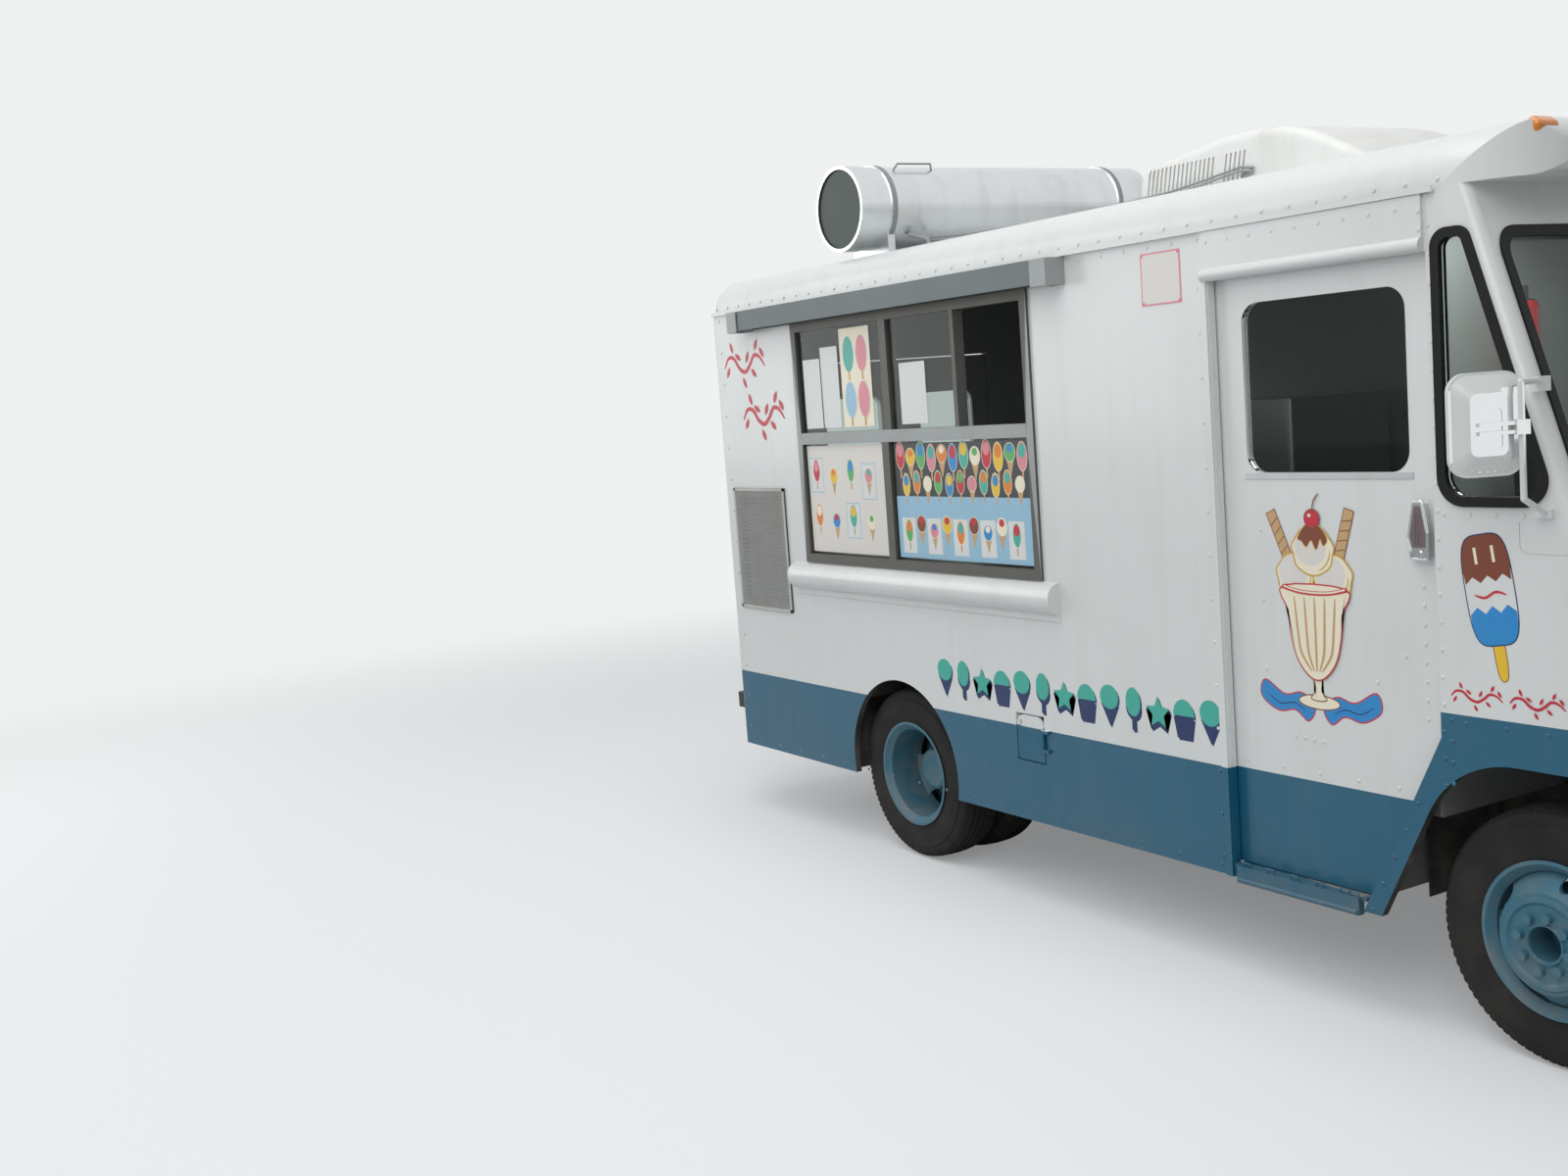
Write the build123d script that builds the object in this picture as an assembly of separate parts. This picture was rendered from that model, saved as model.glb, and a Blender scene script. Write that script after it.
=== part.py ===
from build123d import *
import math
import os

os.makedirs("parts", exist_ok=True)

# An ice cream truck on a walk-in step van, in millimetres. X points forward, Y left and Z up.
# The origin is on the ground under the middle of the truck, and the serving side faces -Y.

# Driving dimensions of the whole truck
overall_length = 5650
wheelbase = 3280
front_overhang = 700
rear_bumper_reach = 150
nose_reach = 565
body_width = 2300
wall = 30
skirt_z = 353
floor_z = 750
floor_thick = 50
belt_z = 1655
eave_z = 2640
roof_edge_radius = 150
gap = 5

# Places worked out from them
front_axle_x = overall_length / 2 - front_overhang
rear_axle_x = front_axle_x - wheelbase
body_rear_x = rear_bumper_reach - overall_length / 2
nose_x = front_axle_x + nose_reach
half_width = body_width / 2
inner_half = half_width - wall
roof_top_z = eave_z + 198
seat_gap = 0.3

# Front end: side seam behind the arch, windscreen rake, hood and nose
front_seam_x = front_axle_x - 330
screen_base_x = front_axle_x + 137
screen_rake = 0.33
hood_side_z = 1560
hood_rear_x = front_axle_x + 170
hood_front_drop = 35
hood_edge_radius = 60
nose_bottom_z = 480
nose_corner_radius = 220
cab_corner_radius = 35
cap_rear_x = front_axle_x - 290
cap_front_x = front_axle_x - 10
cap_corner_radius = 250

# Wheels
tyre_radius = 400
tyre_width = 215
tyre_outer_y = 1100
rim_radius = 243
dual_spacing = 255
kingpin_y = 860
steer_arm = 150
wheel_y = tyre_outer_y - tyre_width / 2
rear_arch_z = 430
rear_arch_radius = 417

# Cab doorway in each side, and the door that slides behind the wall
door_rear_x = front_axle_x - 1220
door_top_z = eave_z - 182
step_z = 400
step_front_x = front_axle_x - 630
slant_top_z = 980
door_thick = 30
door_lap = 20
door_y = inner_half - 7
pocket_y = door_y - door_thick - 2 * gap - 3
step_depth = 350

# Openings of the serving side
serving_x = (body_rear_x + 810, door_rear_x - 970)
serving_z = (eave_z - 1270, eave_z - 110)
serving_frame_width = 42
mullion_z = (serving_z[0] + 575, serving_z[0] + 630)
vent_x = (body_rear_x + 120, body_rear_x + 630)
vent_z = (1100, 1730)
flap_x = (rear_axle_x + 860, rear_axle_x + 1030)
flap_z = (610, 800)
flap_thick = 8

# Rear doorway
rear_post = 80
rear_panel = 40
rear_door_half = 620
rear_door_z = (760, eave_z - 290)

# Roof load: the tank that lies across and the air conditioner
tank_x = body_rear_x + 1000
tank_z = roof_top_z + 214
tank_radius = 198
tank_y = (-950, 870)
ac_x = (door_rear_x - 1150, door_rear_x + 140)
ac_half = 390
ac_top_z = roof_top_z + 232

# Chassis
rail_y = 465
rail_depth = 140
rail_flange = 70
rail_thick = 8
rail_top_z = floor_z - floor_thick
spring_y = 520
spring_width = 70


def block(x0, x1, y0, y1, z0, z1):
    return Pos((x0 + x1) / 2, (y0 + y1) / 2, (z0 + z1) / 2) * Box(x1 - x0, y1 - y0, z1 - z0)


def outline(points, radii=()):
    # A closed outline of straight lines, each corner rounded by the radius in the same place of radii
    face = make_face(Polyline(*points, close=True))
    for point, radius in zip(points, radii):
        if radius:
            corner = face.vertices().sort_by_distance((point[0], point[1], 0))[0]
            face = fillet(corner, radius)
    return face


def along_y(face, y0, y1):
    # A face drawn in X and Z, given its depth from y0 to y1
    plane = Plane(origin=(0, y1, 0), x_dir=(1, 0, 0), z_dir=(0, -1, 0))
    return extrude(plane * face, amount=y1 - y0, dir=(0, -1, 0))


def along_x(face, x0, x1):
    # A face drawn in Y and Z, given its depth from x0 to x1
    plane = Plane(origin=(x0, 0, 0), x_dir=(0, 1, 0), z_dir=(1, 0, 0))
    return extrude(plane * face, amount=x1 - x0, dir=(1, 0, 0))


def along_z(face, z0, z1):
    # A face drawn in X and Y, given its height from z0 to z1
    return extrude(Plane.XY.offset(z0) * face, amount=z1 - z0, dir=(0, 0, 1))


def rod(axis, x, y, z, length, radius):
    turn = {"X": Rot(0, 90, 0), "Y": Rot(90, 0, 0), "Z": Rot(0, 0, 0)}[axis]
    return Pos(x, y, z) * turn * Cylinder(radius, length)


def bar(start, end, radius):
    # A round bar between two points
    start, end = Vector(*start), Vector(*end)
    middle = (start + end) * 0.5
    plane = Plane(origin=middle, z_dir=end - start)
    return plane * Cylinder(radius, (end - start).length)


def spin(points, x, y, z, side=1):
    # A profile of (distance outwards along Y, radius) turned about an axle along Y
    profile = make_face(Polyline(*[(radius, out) for out, radius in points], close=True))
    turned = revolve(Plane.XY * profile, Axis.Y, 360)
    if side < 0:
        turned = mirror(turned, Plane.XZ)
    return Pos(x, y, z) * turned


def flip(shape):
    return mirror(shape, Plane.XZ)


def window(x0, x1, z0, z1, radius):
    return Pos((x0 + x1) / 2, (z0 + z1) / 2) * RectangleRounded(x1 - x0, z1 - z0, radius)


def save(name, *shapes):
    solids = []
    for shape in shapes:
        solids += shape.solids()
    export_step(solids[0] if len(solids) == 1 else Compound(solids), f"parts/{name}.step")


# Outlines that several pieces share

def roof_section(inset):
    # The roof's cross-section: upright edge, corner arc, wide crown, corner arc, upright edge
    corner_y = half_width - roof_edge_radius
    corner_z = eave_z + 10
    rise = roof_top_z - corner_z
    crown = (corner_y ** 2 + rise ** 2 - roof_edge_radius ** 2) / (2 * (rise - roof_edge_radius))
    crown_z = roof_top_z - crown
    reach = math.hypot(corner_y, corner_z - crown_z)
    join_y = corner_y / reach * (crown - inset)
    join_z = crown_z + (corner_z - crown_z) / reach * (crown - inset)
    half_turn = math.atan2(join_z - corner_z, join_y - corner_y) / 2
    radius = roof_edge_radius - inset
    bend_y = corner_y + radius * math.cos(half_turn)
    bend_z = corner_z + radius * math.sin(half_turn)
    edge_y = corner_y + radius
    lines = [
        Line((-edge_y, eave_z), (-edge_y, corner_z)),
        ThreePointArc((-edge_y, corner_z), (-bend_y, bend_z), (-join_y, join_z)),
        ThreePointArc((-join_y, join_z), (0, roof_top_z - inset), (join_y, join_z)),
        ThreePointArc((join_y, join_z), (bend_y, bend_z), (edge_y, corner_z)),
        Line((edge_y, corner_z), (edge_y, eave_z)),
        Line((edge_y, eave_z), (-edge_y, eave_z)),
    ]
    return make_face(lines)


def screen_x(z, inset=0):
    # The windscreen plane leans back as it rises
    return screen_base_x - (z - belt_z) * screen_rake - inset * math.hypot(1, screen_rake)


def screen_slab(outside, inside, z0, z1, y0, y1):
    # The layer between two planes parallel to the windscreen
    points = [
        (screen_x(z0, outside), z0),
        (screen_x(z1, outside), z1),
        (screen_x(z1, inside), z1),
        (screen_x(z0, inside), z0),
    ]
    return along_y(outline(points), y0, y1)


def doorway_outline(lap, front_lap=0):
    # The doorway's lower front corner slants up behind the front wheel arch
    slant = (front_seam_x - step_front_x) / (slant_top_z - step_z)
    points = [
        (door_rear_x - lap, step_z + gap),
        (step_front_x + lap + gap * slant, step_z + gap),
        (front_seam_x + front_lap, slant_top_z + (front_lap - lap) / slant),
        (front_seam_x + front_lap, door_top_z + lap),
        (door_rear_x - lap, door_top_z + lap),
    ]
    return outline(points)


# The front end's solid form starts well behind its seam, inside the cab, where each piece is cut from it
form_rear_x = front_seam_x - 400
front_arch_top_z = 922
front_arch_slope = (slant_top_z - step_z) / (front_seam_x - step_front_x)
front_arch_rear_x = step_front_x + 48
front_arch_nose_x = front_axle_x + 475


def front_arch_outline():
    rise = front_arch_top_z - skirt_z
    points = [
        (front_arch_rear_x - 100 / front_arch_slope, skirt_z - 100),
        (front_arch_rear_x + rise / front_arch_slope, front_arch_top_z),
        (front_arch_nose_x - 150, front_arch_top_z),
        (front_arch_nose_x + 10, skirt_z - 100),
    ]
    return outline(points, (0, 350, 300, 0))


def nose_profile(inset):
    # Side view of the front end below the belt, from the door seam round the hood and nose
    front_x = nose_x - inset
    top_z = belt_z - inset
    rear_x = form_rear_x - inset
    return outline([
        (rear_x, 200 - inset),
        (front_x, 200 - inset),
        (front_x, top_z - hood_front_drop),
        (screen_base_x + 20, top_z),
        (rear_x, top_z),
    ], (0, 0, hood_edge_radius - inset, 0, 0))


def nose_plan(inset):
    # Top view of the front end, with its rounded front corners
    width = half_width - inset
    corner = nose_corner_radius - inset
    rear_x = form_rear_x - 50 - inset
    return outline([
        (rear_x, -width),
        (nose_x - inset, -width),
        (nose_x - inset, width),
        (rear_x, width),
    ], (0, corner, corner, 0))


def nose_form(inset):
    profile = along_y(nose_profile(inset), -half_width - 10, half_width + 10)
    return profile & along_z(nose_plan(inset), 100, belt_z + 100)


# Body shell

def side_wall(serving):
    points = [
        (body_rear_x + rear_post, skirt_z),
        (door_rear_x, skirt_z),
        (door_rear_x, door_top_z),
        (front_seam_x, door_top_z),
        (front_seam_x, eave_z),
        (body_rear_x + rear_post, eave_z),
    ]
    panel = along_y(outline(points), -half_width, -inner_half)
    panel -= rod("Y", rear_axle_x, -half_width, rear_arch_z, 3 * wall, rear_arch_radius)
    if serving:
        lap = serving_frame_width / 2
        panel -= block(serving_x[0] + lap, serving_x[1] - lap, -half_width - 1, -inner_half + 1,
                       serving_z[0] + lap, serving_z[1] - lap)
        panel -= block(vent_x[0] + 25, vent_x[1] - 25, -half_width - 1, -inner_half + 1,
                       vent_z[0] + 25, vent_z[1] - 25)
        panel -= block(flap_x[0] - gap, flap_x[1] + gap, -half_width - 1, -inner_half + 1,
                       flap_z[0] - gap, flap_z[1] + gap)
    return panel


def rear_frame():
    outer = along_z(outline([
        (body_rear_x, -half_width),
        (body_rear_x + rear_post, -half_width),
        (body_rear_x + rear_post, half_width),
        (body_rear_x, half_width),
    ], (45, 0, 0, 45)), skirt_z, eave_z)
    outer -= block(body_rear_x + rear_panel, body_rear_x + rear_post + 1, -inner_half, inner_half,
                   skirt_z - 1, eave_z + 1)
    doorway = block(body_rear_x - 1, body_rear_x + rear_post, -rear_door_half, rear_door_half, *rear_door_z)
    notch = block(body_rear_x - 1, body_rear_x + rear_post, rear_post - half_width, half_width - rear_post,
                  skirt_z - 1, bumper_z[1] + 10)
    return outer - doorway - notch


def roof():
    outer = along_x(roof_section(0), body_rear_x, cap_rear_x)
    rear_edges = []
    for edge in outer.edges():
        if abs(edge.center().X - body_rear_x) < 1 and edge.center().Z > eave_z + 8:
            rear_edges.append(edge)
    outer = fillet(rear_edges, 90)
    inner = along_x(roof_section(wall), body_rear_x + rear_panel, cap_rear_x + 1)
    return outer - inner - block(body_rear_x + rear_panel, cap_rear_x + 1, -inner_half, inner_half,
                                 eave_z - 1, eave_z + 11)


cap_fall = 42


def cap_form(inset):
    corner = cap_corner_radius - inset
    width = half_width - inset
    plan = outline([
        (cap_rear_x, -width),
        (cap_front_x - inset, -width),
        (cap_front_x - inset, width),
        (cap_rear_x, width),
    ], (0, corner, corner, 0))
    # From the side the cap falls to the front and its visor is round above and below
    visor = outline([
        (cap_rear_x, eave_z + inset),
        (cap_front_x - inset, eave_z + inset),
        (cap_front_x - inset, roof_top_z - inset - cap_fall),
        (cap_rear_x, roof_top_z - inset + 20),
    ], (0, 45 - inset, 95 - inset, 0))
    shell = along_x(roof_section(inset), cap_rear_x, cap_front_x + 100)
    shell &= along_z(plan, eave_z, roof_top_z + 50)
    return shell & along_y(visor, -half_width, half_width)


def roof_cap():
    cap = cap_form(0) - (cap_form(wall) & block(cap_rear_x, cap_front_x, -half_width, half_width,
                                                eave_z + wall, roof_top_z))
    return cap - block(cap_rear_x - 1, screen_x(eave_z, wall), -inner_half, inner_half, eave_z - 1,
                       eave_z + wall + 1)


def cab_form(inset):
    points = [
        (front_seam_x - 100 * (inset > 0), belt_z),
        (screen_x(belt_z, inset), belt_z),
        (screen_x(eave_z, inset), eave_z),
        (front_seam_x - 100 * (inset > 0), eave_z),
    ]
    form = along_y(outline(points), inset - half_width, half_width - inset)
    corners = []
    for edge in form.edges():
        middle = edge.center()
        if abs(middle.Y) > half_width - inset - 1 and abs(middle.X - screen_x(middle.Z, inset)) < 1:
            if edge.bounding_box().size.Z > 100:
                corners.append(edge)
    return fillet(corners, cab_corner_radius - inset)


screen_y = 1090
screen_z = (belt_z + 35, eave_z - 130)
screen_radius = 90
rubber = 30


def quarter_outline(inset):
    # The quarter window follows the windscreen's rake
    def front(z):
        return screen_base_x - 35 - (z - belt_z) * screen_rake - inset * math.hypot(1, screen_rake)
    rear = front_axle_x - 310 + inset
    low, high = belt_z + 40 + inset, eave_z - 120 - inset
    shrink = inset * 0.8
    points = [(rear, low), (front(low), low), (front(high), high), (rear, high)]
    return outline(points, (90 - shrink, 80 - shrink, 48 - shrink, 56 - shrink))


def screen_opening(inset):
    return window(-screen_y + inset, screen_y - inset, screen_z[0] + inset, screen_z[1] - inset,
                  screen_radius - inset)


def cab_front():
    shell = cab_form(0) - cab_form(wall)
    shell -= along_x(screen_opening(rubber / 2), front_seam_x + 30, nose_x)
    return shell - along_y(quarter_outline(rubber / 2), -half_width - 1, half_width + 1)


def cab_rubbers():
    depth = wall + 8
    screen = screen_slab(-8, wall, screen_z[0] - 50, screen_z[1] + 50, -half_width, half_width)
    outer = screen & along_x(screen_opening(rubber / 2 + seat_gap / 2), front_seam_x, nose_x)
    bead = screen_slab(-8, -seat_gap, screen_z[0] - 50, screen_z[1] + 50, -half_width, half_width)
    outer += bead & along_x(screen_opening(0), front_seam_x, nose_x)
    glazed = outer - along_x(screen_opening(rubber + 4), front_seam_x, nose_x)
    post = screen_slab(-8, wall, screen_z[0] + rubber, screen_z[1] - rubber, -12, 12)
    glazed += post
    side = along_y(quarter_outline(rubber / 2 + seat_gap / 2), -half_width - 8, -inner_half)
    side += along_y(quarter_outline(0), -half_width - 8, -half_width)
    side -= along_y(quarter_outline(rubber), -half_width - depth, 0)
    return glazed, side, flip(side)


def cab_glass():
    pane = screen_slab(8, 14, screen_z[0], screen_z[1], -half_width, half_width)
    pane &= along_x(screen_opening(rubber + 4 + seat_gap), front_seam_x, nose_x)
    pane -= block(front_seam_x, nose_x, -12 - seat_gap, 12 + seat_gap, belt_z, eave_z)
    quarter = along_y(quarter_outline(rubber + seat_gap), -half_width + 10, -half_width + 16)
    return pane, quarter, flip(quarter)


grille_y = 520
grille_z = (760, 1240)
headlamp_y = 800
headlamp_z = 1010
headlamp_radius = 105


panel_seam_x = front_axle_x - 41
panel_seam = 3


def panel_seam_outline(inset):
    # The side panel below the windscreen has a rounded lower rear corner that runs on as the hood's edge
    return outline([
        (panel_seam_x + inset, hood_side_z + inset),
        (hood_rear_x + 50 - inset, hood_side_z + inset),
        (hood_rear_x + 50 - inset, belt_z + 50 - inset),
        (panel_seam_x + inset, belt_z + 50 - inset),
    ], (28 - inset, 0, 0, 0))


def cowl():
    rear_x = form_rear_x
    side = outline([
        (step_front_x - (step_z - skirt_z) / front_arch_slope, skirt_z),
        (front_seam_x, slant_top_z),
        (front_seam_x, belt_z),
        (nose_x + 10, belt_z),
        (nose_x + 10, nose_bottom_z),
        (front_axle_x, nose_bottom_z),
        (front_axle_x, skirt_z),
    ])
    body = nose_form(0) & along_y(side, -half_width - 10, half_width + 10)
    body -= nose_form(wall)
    body -= block(rear_x, screen_x(belt_z, wall), -inner_half, inner_half, belt_z - 2 * wall, belt_z + 1)
    arch = along_y(front_arch_outline(), -half_width - 1, nose_corner_radius - half_width)
    body -= arch + flip(arch)
    body -= block(hood_rear_x, nose_x + 1, -half_width - 1, half_width + 1, hood_side_z, belt_z + 1)
    body -= block(nose_x - 2 * wall, nose_x + 1, -grille_y, grille_y, *grille_z)
    for side in (-1, 1):
        body -= rod("X", nose_x, side * headlamp_y, headlamp_z, 3 * wall, headlamp_radius)
    groove = along_y(panel_seam_outline(0) - panel_seam_outline(panel_seam), -half_width - 1, -half_width + 2)
    return body - groove - flip(groove)


hood_thick = 20
hinge_radius = 9
hood_hinges_y = (-600, 600)
hood_hinge_x = hood_rear_x + gap / 2
hood_hinge_z = belt_z + 8
hood_barrel = 8
hood_pin = 4


def hood_hinge_pins():
    # Hinge pins held by two ears each at the rear of the hood opening
    pins = []
    for y in hood_hinges_y:
        pin = rod("Y", hood_hinge_x, y, hood_hinge_z, 140, hood_pin)
        for end in (-1, 1):
            middle = y + end * 58
            pin += rod("Y", hood_hinge_x, middle, hood_hinge_z, 16, hood_barrel)
            pin += block(hood_hinge_x - 28, hood_hinge_x, middle - 8, middle + 8, belt_z, hood_hinge_z + 8)
        pins.append(pin)
    return pins


def hood():
    lid = nose_form(0) - nose_form(hood_thick)
    lid &= block(hood_rear_x + gap, nose_x + 1, -half_width - 1, half_width + 1, hood_side_z + gap, belt_z + 1)
    for y in hood_hinges_y:
        leaf = block(hood_hinge_x, hood_hinge_x + 60, y - 48, y + 48, belt_z - 25, hood_hinge_z + 4)
        leaf &= block(hood_hinge_x, hood_hinge_x + 60, y - 48, y + 48, 0, belt_z + 20) - nose_form(hood_thick)
        lid += leaf + rod("Y", hood_hinge_x, y, hood_hinge_z, 96, hood_barrel)
        lid -= rod("Y", hood_hinge_x, y, hood_hinge_z, 98, hood_pin + seat_gap)
    return lid


def firewall():
    # Toe board, wheel housing top and bulkhead bent from one sheet, cut round the engine cover
    sheet = 10
    top_z = front_arch_top_z + 30
    rear_x = front_seam_x - 75
    front_x = screen_base_x - 40
    points = [
        (rear_x, floor_z - floor_thick),
        (rear_x, top_z),
        (front_x, top_z),
        (front_x, belt_z - 40),
        (front_x + sheet, belt_z - 40),
        (front_x + sheet, top_z - sheet),
        (rear_x + sheet, top_z - sheet),
        (rear_x + sheet, floor_z - floor_thick),
    ]
    panel = along_y(outline(points), -inner_half, inner_half)
    tunnel = block(rear_x - 1, front_x + sheet + 1, -cover_half, cover_half, 0, cover_top_z)
    pockets = block(rear_x - 1, front_seam_x + door_lap + gap, pocket_y, half_width, 0, top_z + 1)
    return panel - tunnel - pockets - flip(pockets)


# Cab doors and steps

def sliding_door():
    panel = along_y(doorway_outline(door_lap, door_lap - gap), -door_y, -door_y + door_thick)
    opening = (door_rear_x + 110, front_seam_x - 110, belt_z + 140, eave_z - 270)
    panel -= along_y(window(*opening, 70), -half_width, 0)
    pane = along_y(window(opening[0] + seat_gap, opening[1] - seat_gap, opening[2] + seat_gap,
                          opening[3] - seat_gap, 70 - seat_gap), -door_y + 10, -door_y + 15)
    return panel, pane


door_travel = 770
handle_z = (1524, 1714)
track_z = door_top_z + door_lap + 18


def door_track():
    # Overhead rail that the sliding door hangs from, fixed to the inside of the wall
    x0 = door_rear_x - door_lap - door_travel - 10
    return block(x0, front_seam_x, -inner_half, -door_y + door_thick, track_z, track_z + 28)


def door_hardware():
    # Upright pull handle, and the two rollers that hang the door from its track
    handle_x = front_seam_x - 62
    low, high = handle_z
    grip = outline([
        (handle_x - 34, low),
        (handle_x + 36, low),
        (handle_x + 38, high - 100),
        (handle_x + 18, high),
        (handle_x - 22, high),
        (handle_x - 48, high - 120),
        (handle_x - 34, high - 160),
    ], (8, 8, 60, 17, 17, 14, 12))
    handle = along_y(grip, -door_y - 34, -door_y - 20)
    handle = fillet(handle.faces().sort_by(Axis.Y)[0].edges(), 5)
    for z in (low + 18, high - 28):
        handle += block(handle_x - 16, handle_x + 12, -door_y - 24, -door_y, z - 14, z + 14)
    for x in (door_rear_x + 90, front_seam_x - 90):
        handle += block(x - 40, x + 40, -door_y + 6, -door_y + door_thick - 6, door_top_z + door_lap - 1,
                        track_z - seat_gap)
    return handle


def steps():
    front_x = step_front_x - 12
    tread = block(door_rear_x, front_x, -half_width, -pocket_y + step_depth - 80, step_z - 12, step_z)
    back_y = -pocket_y + step_depth - 80
    tread += block(door_rear_x, front_x, back_y, back_y + 8, step_z - 12, floor_z - floor_thick)
    for x in (door_rear_x, front_x - 8):
        tread += block(x, x + 8, -pocket_y, back_y + 8, step_z - 12, floor_z - floor_thick)
    front_x = step_front_x - 60 / front_arch_slope - 1
    nosing = block(door_rear_x + 20, front_x, -half_width - 15, -half_width + 12, step_z - 60, step_z - 12)
    nosing += block(door_rear_x + 20, front_x, -half_width - 15, -half_width, step_z - 12, step_z)
    return tread + nosing


# Rear doors

rear_hinge_out = 13


def rear_door():
    low, high = rear_door_z[0] + gap, rear_door_z[1] - gap
    panel = block(body_rear_x, body_rear_x + rear_panel, -rear_door_half + gap, -gap / 2, low, high)
    opening = (-rear_door_half + 120, -130, rear_door_z[1] - 700, rear_door_z[1] - 200)
    panel -= along_x(window(*opening, 60), body_rear_x - 1, body_rear_x + rear_panel + 1)
    pane = along_x(window(opening[0] + seat_gap, opening[1] - seat_gap, opening[2] + seat_gap,
                          opening[3] - seat_gap, 60 - seat_gap), body_rear_x + 15, body_rear_x + 20)
    for z in rear_hinges_z:
        leaf = block(body_rear_x - 6, body_rear_x, -rear_door_half + gap, -rear_door_half + 70, z - 30, z + 30)
        barrel_y = -rear_door_half
        leaf += rod("Z", body_rear_x - rear_hinge_out, barrel_y, z, 60, 12)
        leaf -= rod("Z", body_rear_x - rear_hinge_out, barrel_y, z, 62, hinge_radius)
        panel += leaf
    latch_z = (rear_door_z[0] + rear_door_z[1]) / 2 - 60
    panel += block(body_rear_x - 5, body_rear_x, -78, -38, latch_z - 90, latch_z + 90)
    panel += block(body_rear_x - 34, body_rear_x, -66, -50, latch_z - 70, latch_z - 54)
    panel += block(body_rear_x - 34, body_rear_x, -66, -50, latch_z + 54, latch_z + 70)
    panel += rod("Z", body_rear_x - 34, -58, latch_z, 150, 10)
    return panel, pane


rear_hinges_z = (900, 1550, 2200)


def rear_hinge_pins():
    pins = []
    for z in rear_hinges_z:
        pin = rod("Z", body_rear_x - rear_hinge_out, -rear_door_half, z, 110, hinge_radius - seat_gap)
        for end in (-1, 1):
            middle = z + end * 44
            ear = rod("Z", body_rear_x - rear_hinge_out, -rear_door_half, middle, 22, 11)
            ear += block(body_rear_x - rear_hinge_out - 11, body_rear_x, -rear_door_half - 60,
                         -rear_door_half, middle - 11, middle + 11)
            ear -= block(body_rear_x - rear_hinge_out - 12, body_rear_x - 8, -rear_door_half - 61,
                         -rear_door_half - 12, middle - 12, middle + 12)
            pin += ear
        pins.append(pin)
    return pins


# Serving side pieces

pane_thick = 6


def serving_frame():
    x0, x1 = serving_x
    z0, z1 = serving_z
    lap = serving_frame_width / 2
    y_out = -half_width - 12
    frame = block(x0, x1, y_out, -half_width, z0, z1)
    frame += block(x0 + lap, x1 - lap, -half_width, -inner_half + 10, z0 + lap, z1 - lap)
    clear = serving_frame_width
    frame -= block(x0 + clear, x1 - clear, y_out - 1, 0, z0 + clear, mullion_z[0])
    frame -= block(x0 + clear, x1 - clear, y_out - 1, 0, mullion_z[1], z1 - clear)
    for x, width, low, high in stiles:
        frame += block(x, x + width, y_out, -inner_half + 10, low, high)
    return frame


serving_stile_x = serving_x[1] - 1040
lower_stile_x = serving_stile_x - 32
sash_stile_x = serving_x[1] - 508
# Columns: x, width, bottom z, top z
stiles = (
    (lower_stile_x, 54, serving_z[0] + serving_frame_width, mullion_z[0]),
    (serving_stile_x, 54, mullion_z[1], serving_z[1] - serving_frame_width),
    (sash_stile_x, 26, mullion_z[1], serving_z[1] - serving_frame_width),
)


def serving_glass():
    x0, x1 = serving_x[0] + serving_frame_width + seat_gap, serving_x[1] - serving_frame_width - seat_gap
    z0, z1 = serving_z[0] + serving_frame_width + seat_gap, serving_z[1] - serving_frame_width - seat_gap
    y = -half_width + 4
    lower, upper, sash = (x for x, width, low, high in stiles)
    return [
        block(x0, lower - seat_gap, y, y + pane_thick, z0, mullion_z[0] - seat_gap),
        block(lower + 54 + seat_gap, x1, y, y + pane_thick, z0, mullion_z[0] - seat_gap),
        block(x0, upper - seat_gap, y, y + pane_thick, mullion_z[1] + seat_gap, z1),
        block(upper + 54 + seat_gap, sash - seat_gap, y, y + pane_thick, mullion_z[1] + seat_gap, z1),
    ]


def counter_rail():
    # Half-round bumper rail below the sill, with a flat lower flange
    x0, x1 = serving_x[0] - 110, serving_x[1] + 90
    radius = 64
    centre_z = serving_z[0] - 69
    rail = rod("X", (x0 + x1) / 2, -half_width, centre_z, x1 - x0, radius)
    rail &= block(x0, x1, -half_width - radius - 1, -half_width, 0, eave_z)
    return rail + block(x0, x1, -half_width - 8, -half_width, centre_z - 93, centre_z - 61)


awning_end = 85


def awning_box():
    x0, x1 = serving_x[0] - 460, serving_x[1] + 225
    z0, z1 = serving_z[1], eave_z - 14
    box = block(x0, x1, -half_width - 90, -half_width, z0, z1)
    inside = block(x0 + 4, x1 - 4, -half_width - 86, -half_width - 4, z0 - 1, z1 - 4)
    box -= inside
    for x, inward in ((x0, 1), (x1, -1)):
        low, high = sorted((x - 6 * inward, x + awning_end * inward))
        box += block(low, high, -half_width - 98, -half_width, z0 - 8, z1)
        low, high = sorted((x, x + (awning_end + 1) * inward))
        box -= block(low, high, -half_width - 92, -half_width - 4, z0 - 9, z1 - 4)
    return box


def vent_panel():
    frame = block(vent_x[0], vent_x[1], -half_width - 8, -half_width, *vent_z)
    frame += block(vent_x[0] + 25, vent_x[1] - 25, -half_width, -inner_half, vent_z[0] + 25, vent_z[1] - 25)
    frame -= block(vent_x[0] + 45, vent_x[1] - 45, -half_width - 9, 0, vent_z[0] + 45, vent_z[1] - 45)
    width = vent_x[1] - vent_x[0] - 80
    slats = 24
    pitch = (vent_z[1] - vent_z[0] - 90) / slats
    for index in range(slats):
        z = vent_z[0] + 45 + (index + 0.5) * pitch
        frame += Pos((vent_x[0] + vent_x[1]) / 2, -half_width + 10, z) * Rot(-35, 0, 0) * Box(width, 24, 3)
    return frame


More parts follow.
